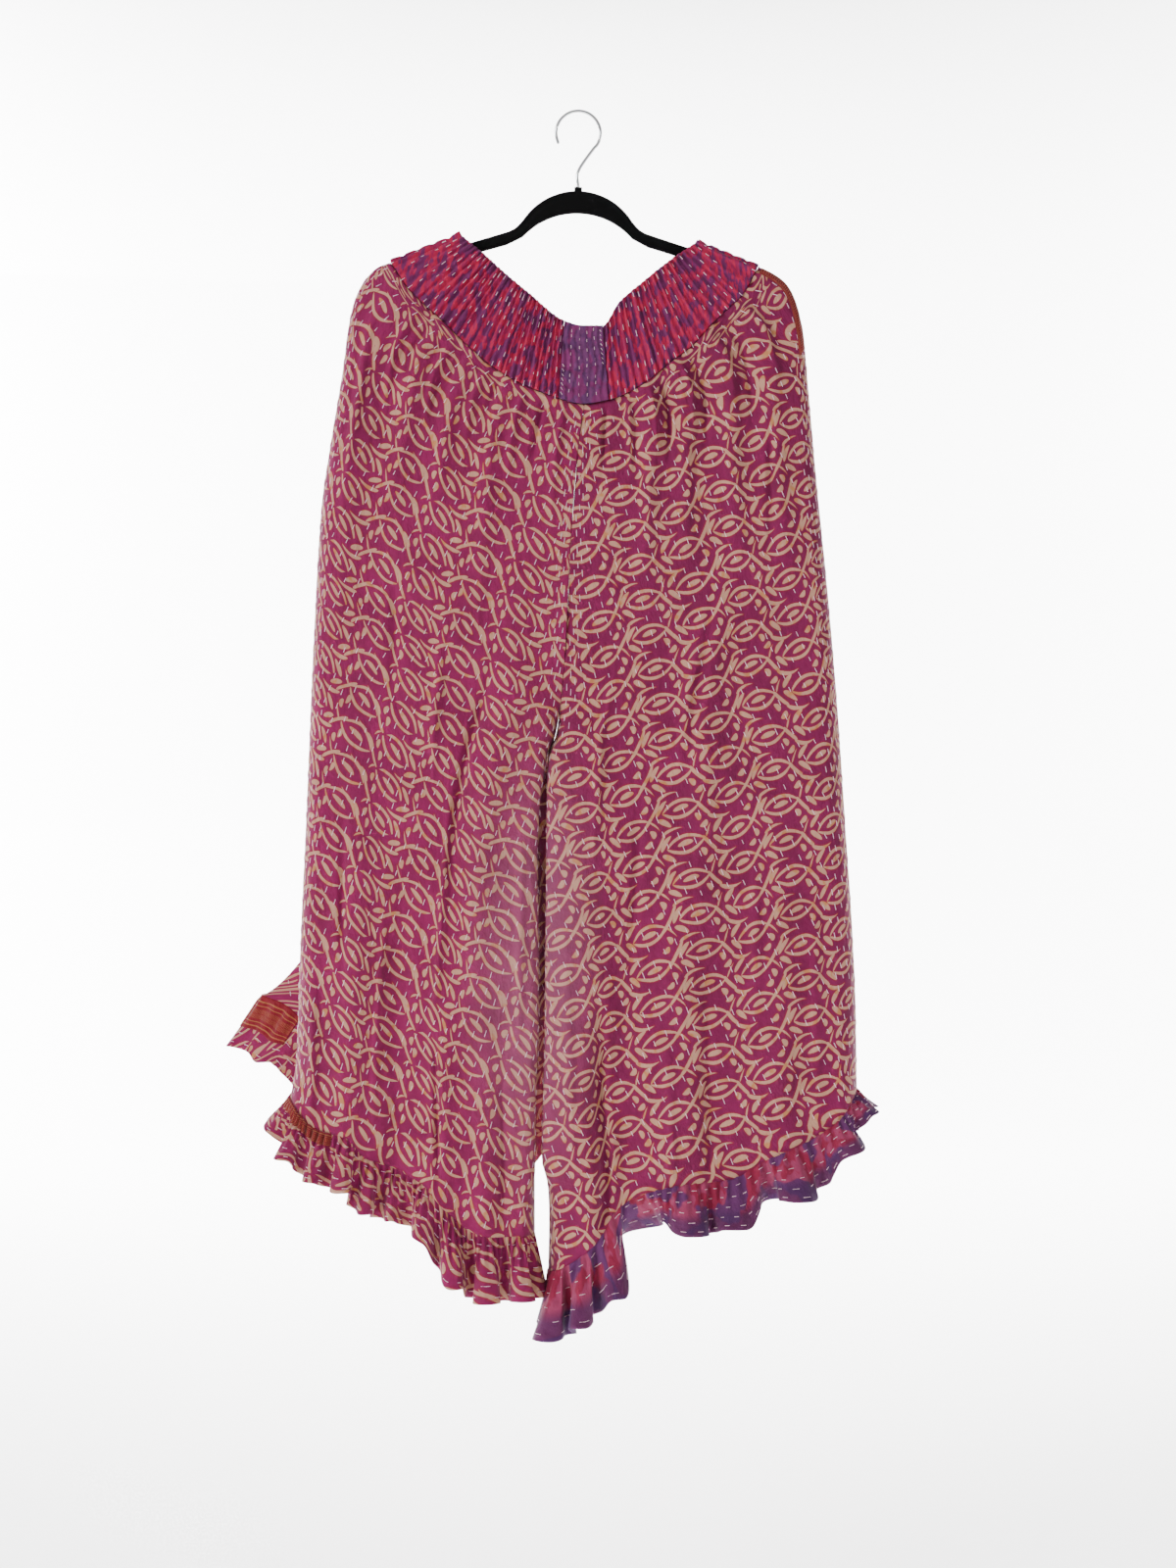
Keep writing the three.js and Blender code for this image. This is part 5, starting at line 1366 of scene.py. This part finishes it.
# %% Stitches of the band, along its gathers
BAND_STITCH_ROWS, BAND_STITCH_CHANCE, BAND_SEED = (0.06, 0.22, 0.4, 0.58, 0.76, 0.92), 0.72, 50
BAND_STITCH, BAND_ASIDE, BAND_STRAY = (0.05, 0.08), 0.2, 0.04  # length, and how far it strays
for name, (surface, side, seed) in BANDS.items():
    draw = np.random.default_rng(seed + BAND_SEED)
    count = GATHERS[name]
    height = gather_height(count, seed)
    places = []
    for k in range(count):
        for row in BAND_STITCH_ROWS:
            if draw.uniform() < BAND_STITCH_CHANCE:
                column = (k + 0.5 + draw.uniform(-BAND_ASIDE, BAND_ASIDE)) / count
                start = row + draw.uniform(-BAND_STRAY, BAND_STRAY)
                places.append((column, start, column, start + draw.uniform(*BAND_STITCH)))
    at = np.array(places)
    lifted = height(at[:, 0], (at[:, 1] + at[:, 3]) / 2)[:, None]
    stitches(f"stitches_waistband_{name}", surface, side,
                                           at[:, :2], at[:, 2:], lifted,
                                           halfwidth=0.38)
    print("stitches on band", name, len(at))

# %% [markdown]
# The insert keeps four upright lines of small stitches, and slanted marks where it is
# oversewn to the band: low on its left side and high on its right.

# %% Stitches of the insert
INSERT_SEED, UPRIGHT_LINES, STITCHES_A_LINE = 66, (0.2, 0.4, 0.58, 0.76), 8
draw = np.random.default_rng(INSERT_SEED)
places = []
for column in UPRIGHT_LINES:
    for k in range(STITCHES_A_LINE):
        row = 0.05 + 0.115 * k + draw.uniform(-0.03, 0.03)
        places.append((column, row, column + draw.uniform(-0.01, 0.01), row + 0.04))
for column, first, last in ((0.05, 0.55, 0.93), (0.93, 0.06, 0.5)):
    for row in np.arange(first, last, 0.06):
        places.append((column - 0.02, row, column + 0.02, row + 0.03))
at = np.array(places)
stitches(
    "stitches_waistband_front_insert", insert_surface, -1, at[:, :2], at[:, 2:],
    INSERT_SWELL, halfwidth=0.32)

# %% [markdown]
# ## Hanger
# A slim hanger of this kind is moulded flat with rounded edges, then flocked. Its outline has
# a hump, sloping arms, rounded tips and a lower bar, and an opening inside them. A flat curve
# of the two outlines, made thick and bevelled, rounds every edge alike. Arcs and lines in
# millimetres draw the outlines, and the finished frame is tilted by the degree it hangs at.

# %% Hanger frame
HANGER = {"thick": 4.0, "tilt": 1.0, "hump_top": -80.0, "outer": 66.0, "inner_top": -103.0,
          "inner": 75.0, "slope": 17.4, "arm_x": 108.0, "arm_z": -134.6, "arm_height": 13.0,
          "tip_x": 182.0, "tip": 30.0, "straight": 9.0, "width": 10.0, "nub_top": -76.0,
          "nub_half": 4.0}
SHOULDER = ((58, 5.6), (61, 3.3), (64.5, 1.4), (70, 0.2))  # x, height over the arm's line
BEND_X, ARC_STEPS, SMALL_ARC_STEPS = 72, 16, 14
EDGE_ROUND = 1.3
SLOPE = math.radians(HANGER["slope"])


def arm_top(x):
    return HANGER["arm_z"] - (x - HANGER["arm_x"]) * math.tan(SLOPE)


def arc(x, z, radius, start, end, count):
    return [(x + radius * math.cos(math.radians(mix(start, end, i / count))),
             z + radius * math.sin(math.radians(mix(start, end, i / count))))
            for i in range(count + 1)]


def hanger_loops():
    h = HANGER
    tip_top_x = h["tip_x"] + h["tip"] * math.sin(SLOPE)
    tip_z = arm_top(tip_top_x) - h["tip"] * math.cos(SLOPE)
    hump_z, inner_z = h["hump_top"] - h["outer"], h["inner_top"] - h["inner"]
    nub_angle = math.degrees(math.acos(h["nub_half"] / h["outer"]))
    outer = [(h["nub_half"], h["nub_top"])]
    outer += arc(0, hump_z, h["outer"], nub_angle, 33, 18)
    outer += [(x, arm_top(x) + over) for x, over in SHOULDER]
    outer += arc(h["tip_x"], tip_z, h["tip"], 90 - h["slope"], 0, ARC_STEPS)
    outer += arc(h["tip_x"], tip_z - h["straight"], h["tip"], 0, -90, ARC_STEPS)
    small = h["tip"] - h["width"]
    inner = arc(0, inner_z, h["inner"], 88, 42, SMALL_ARC_STEPS)
    inner += [(BEND_X, arm_top(BEND_X) - h["arm_height"])]
    inner += arc(h["tip_x"], tip_z, small, 90 - h["slope"], 0, SMALL_ARC_STEPS)
    inner += arc(h["tip_x"], tip_z - h["straight"], small, 0, -90, SMALL_ARC_STEPS)
    return [half + [(-x, z) for x, z in reversed(half)] for half in (outer, inner)]


curve = bpy.data.curves.new("hanger outline", "CURVE")
curve.dimensions, curve.fill_mode = "2D", "BOTH"
curve.extrude = (HANGER["thick"] / 2 - EDGE_ROUND) * MM
curve.bevel_depth = EDGE_ROUND * MM
curve.bevel_resolution = 3
curve.offset = -EDGE_ROUND * MM
for loop in hanger_loops():
    spline = curve.splines.new("POLY")
    spline.points.add(len(loop) - 1)
    spline.use_cyclic_u = True
    for point, (x, z) in zip(spline.points, loop):
        point.co = (x * MM, (z - HANGER["hump_top"]) * MM, 0, 1)
drawn = bpy.data.objects.new("hanger outline", curve)
bpy.context.scene.collection.objects.link(drawn)
mesh = bpy.data.meshes.new_from_object(drawn.evaluated_get(bpy.context.evaluated_depsgraph_get()))
bpy.data.objects.remove(drawn)
drawn_points = np.zeros(3 * len(mesh.vertices))
mesh.vertices.foreach_get("co", drawn_points)
across, up, deep = drawn_points.reshape(-1, 3).T
tilt = math.radians(HANGER["tilt"])
stood = np.stack([across * math.cos(tilt) + up * math.sin(tilt), -deep,
                  up * math.cos(tilt) - across * math.sin(tilt) + HANGER["hump_top"] * MM], -1)
mesh.vertices.foreach_set("co", stood.ravel())
mesh.materials.clear()
mesh.materials.append(VELVET)
hanger = bpy.data.objects.new("hanger_frame_flocked", mesh)
bpy.context.scene.collection.objects.link(hanger)
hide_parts("hanger_frame")
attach(hanger, "root")
print("hanger frame faces:", len(mesh.polygons))

# %% [markdown]
# The hook is a bent steel wire, round in section, with its cut end domed, and it comes out of
# the top of the hump. A smooth course runs through a few points of the bend, and a ring of
# points is set square to it at each step, growing smaller over the dome.

# %% Hanger hook
WIRE, HOOK_INNER, SHANK_TOP = 1.65, 21.0, -60
HOOK_ANGLES, STEPS, SIDES = range(-50, 206, 17), 6, 16
DOME = ((0.85, 0.5), (0.5, 0.85), (0.12, 0.98))  # share of the radius, share ahead of the end
hook_radius = HOOK_INNER + WIRE
hook_path = [(0, HANGER["nub_top"] + SEAM_GAP), (0, SHANK_TOP)]
hook_path += [(hook_radius * math.cos(math.radians(a)), -HOOK_INNER + hook_radius
               * math.sin(math.radians(a))) for a in HOOK_ANGLES]


def through(points, steps):
    """A smooth course through a list of points, which leaves each along its neighbours' line."""
    p = np.array([points[0], *points, points[-1]], float)
    out = []
    for k in range(1, len(p) - 2):
        for t in np.linspace(0, 1, steps, endpoint=False):
            out.append(0.5 * ((2 * p[k]) + (p[k + 1] - p[k - 1]) * t
                              + (2 * p[k - 1] - 5 * p[k] + 4 * p[k + 1] - p[k + 2]) * t * t
                              + (3 * p[k] - p[k - 1] - 3 * p[k + 1] + p[k + 2]) * t ** 3))
    return np.array(out + [p[-2]])


def ring(centre, tangent, radius):
    turns = np.linspace(0, 2 * np.pi, SIDES, endpoint=False)
    return [(centre[0] - tangent[1] * radius * math.cos(a), radius * math.sin(a),
             centre[1] + tangent[0] * radius * math.cos(a)) for a in turns]


course = through(hook_path, STEPS)
tangents = np.gradient(course, axis=0)
tangents /= np.linalg.norm(tangents, axis=1, keepdims=True)
rings = [ring(centre, tangent, WIRE) for centre, tangent in zip(course, tangents)]
rings += [ring(course[-1] + tangents[-1] * WIRE * ahead, tangents[-1], WIRE * shrink)
          for shrink, ahead in DOME]
count = len(rings)
faces = [[k * SIDES + i, k * SIDES + (i + 1) % SIDES, (k + 1) * SIDES + (i + 1) % SIDES,
          (k + 1) * SIDES + i] for k in range(count - 1) for i in range(SIDES)]
ends = [list(range(SIDES))[::-1], [(count - 1) * SIDES + i for i in range(SIDES)]]
mesh = bpy.data.meshes.new("hanger_hook_wire")
mesh.from_pydata((np.array(rings).reshape(-1, 3) * MM).tolist(), [], faces + ends)
mesh.polygons.foreach_set("use_smooth", np.ones(len(mesh.polygons), bool))
mesh.materials.append(STEEL)
hook = bpy.data.objects.new("hanger_hook_wire", mesh)
bpy.context.scene.collection.objects.link(hook)
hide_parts("hanger_hook")
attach(hook, "root")
print("hook rings:", count)

# %% [markdown]
# ## What each piece was cut from
# The frame asks for each sheet's flat size, as a cutter would need it; here it is printed. It
# is measured on the sampled surface, along every fold and flute, so a ruffle comes out as long
# as it was cut. The band's fine gathers are raised on its shell and not in that surface, so it
# is taken as 1.25 times as long as it hangs.

BAND_GATHERED = 1.25  # how much longer the band lies flat than it hangs
RESTS_ON = {"border_side_right": "leg_right_front", "border_hem_left": "ruffle_left_front",
            "border_lobe_left": "ruffle_left_back"}
RESTS_ON |= {f"ruffle_{name}": f"leg_{name}" for name in PANELS}
for key, (piece, grid) in cloth_pieces.items():
    kind = key.split("_")[0]
    gathered = BAND_GATHERED if kind == "waistband" else 1.0
    wide, long = flat_size(grid)
    flat, area = (round(wide * gathered, 3), round(long, 3)), round(area_of(grid) * gathered, 4)
    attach(piece, "root")
    print(key, "flat", flat, "area", area)

# %% [markdown]
# ## Camera, floor and light
# The picture was taken level, with the garment's middle opposite the lens, from about two
# and a half metres. The floor sweeps up into a wall far behind, as a roll of paper does in a
# studio, so the ground stays even and pale.

# %% Camera and paper sweep
CAMERA_DISTANCE, CAMERA_X, CAMERA_Z = 2.6, 0.010, -0.685
SENSOR, PICTURE_HEIGHT = 36.0, 1.6
camera_data = bpy.data.cameras.new("camera")
camera_data.sensor_fit = "VERTICAL"
camera_data.sensor_height = SENSOR
camera_data.lens = SENSOR * CAMERA_DISTANCE / PICTURE_HEIGHT
camera = bpy.data.objects.new("camera", camera_data)
camera.location = (CAMERA_X, -CAMERA_DISTANCE, CAMERA_Z)
camera.rotation_euler = (math.pi / 2, 0, 0)
bpy.context.scene.collection.objects.link(camera)
bpy.context.scene.camera = camera

FLOOR_Z, BACK_Y, SWEEP, PAPER_HALF, PAPER_TOP = -1.55, 4.6, 1.4, 6.0, 4.0
profile = [(-PAPER_HALF, FLOOR_Z), (BACK_Y - SWEEP, FLOOR_Z)]
profile += [(BACK_Y - SWEEP + SWEEP * math.sin(math.radians(a)),
             FLOOR_Z + SWEEP - SWEEP * math.cos(math.radians(a))) for a in range(5, 91, 5)]
profile += [(BACK_Y, PAPER_TOP)]
sweep_points = np.array([(x, y, z) for y, z in profile for x in (-PAPER_HALF, PAPER_HALF)]) / MM
sweep_faces = np.array([(2 * k, 2 * k + 1, 2 * k + 3, 2 * k + 2)
                        for k in range(len(profile) - 1)])
paper, tree = start_material("studio paper, matt")
fibre = node(tree, "ShaderNodeTexNoise", Scale=400.0).outputs[0]
tone = node(tree, "ShaderNodeMix", MIX_COLOUR, i0=fibre, i6=linear("F5F5F5"),
            i7=linear("F8F8F8")).outputs[2]
node(tree, "ShaderNodeOutputMaterial", Surface=node(
    tree, "ShaderNodeBsdfPrincipled", Base_Color=tone, Roughness=0.95).outputs[0])
floor = make_mesh("studio_floor", sweep_points, sweep_faces, None, paper)
print("camera lens", round(camera_data.lens, 1), "mm")

# %% [markdown]
# A soft light from the upper left shapes the folds, a weak one fills the right, and the white
# room does the rest. Two lights at the wall and one over the floor keep the paper pale. The
# one over the floor lights the paper alone, as a shaded lamp would, or it would bleach the
# back of the cloth.

# %% Lights
AIM = (0, 0, -0.7)
LIGHTS = {
    # where it stands, what it points at, how wide, how strong
    "key light": ((-2.4, -1.7, 0.9), AIM, 0.9, 104),
    "fill light": ((2.2, -2.4, -0.2), AIM, 2.0, 7),
    "wall light, left": ((-3.2, 3.2, 0.5), (0.5, BACK_Y, -0.7), 1.5, 540),
    "wall light, right": ((3.2, 3.2, 0.5), (-0.5, BACK_Y, -0.7), 1.5, 540),
    "floor light": ((0, 2.7, 1.7), (0, 2.5, FLOOR_Z), 1.2, 500),
}
ROOM_STRENGTH = 0.58
world = bpy.data.worlds.new("studio")
bpy.context.scene.world = world
world.use_nodes = True
world.node_tree.nodes["Background"].inputs[0].default_value = linear("FFFFFF")
world.node_tree.nodes["Background"].inputs[1].default_value = ROOM_STRENGTH


def soft_light(name, place, aim, size, power):
    data = bpy.data.lights.new(name, "AREA")
    data.shape, data.size, data.energy = "DISK", size, power
    light = bpy.data.objects.new(name, data)
    light.location = place
    direction = np.array(aim) - np.array(place)
    x, y, z = direction / np.linalg.norm(direction)
    light.rotation_euler = (math.acos(-z), 0, math.atan2(-x, y))
    bpy.context.scene.collection.objects.link(light)
    return light


lights = {name: soft_light(name, *row) for name, row in LIGHTS.items()}
paper_only = bpy.data.collections.new("lit by the floor light")
paper_only.objects.link(floor)
lights["floor light"].light_linking.receiver_collection = paper_only
print("lights:", ", ".join(lights))
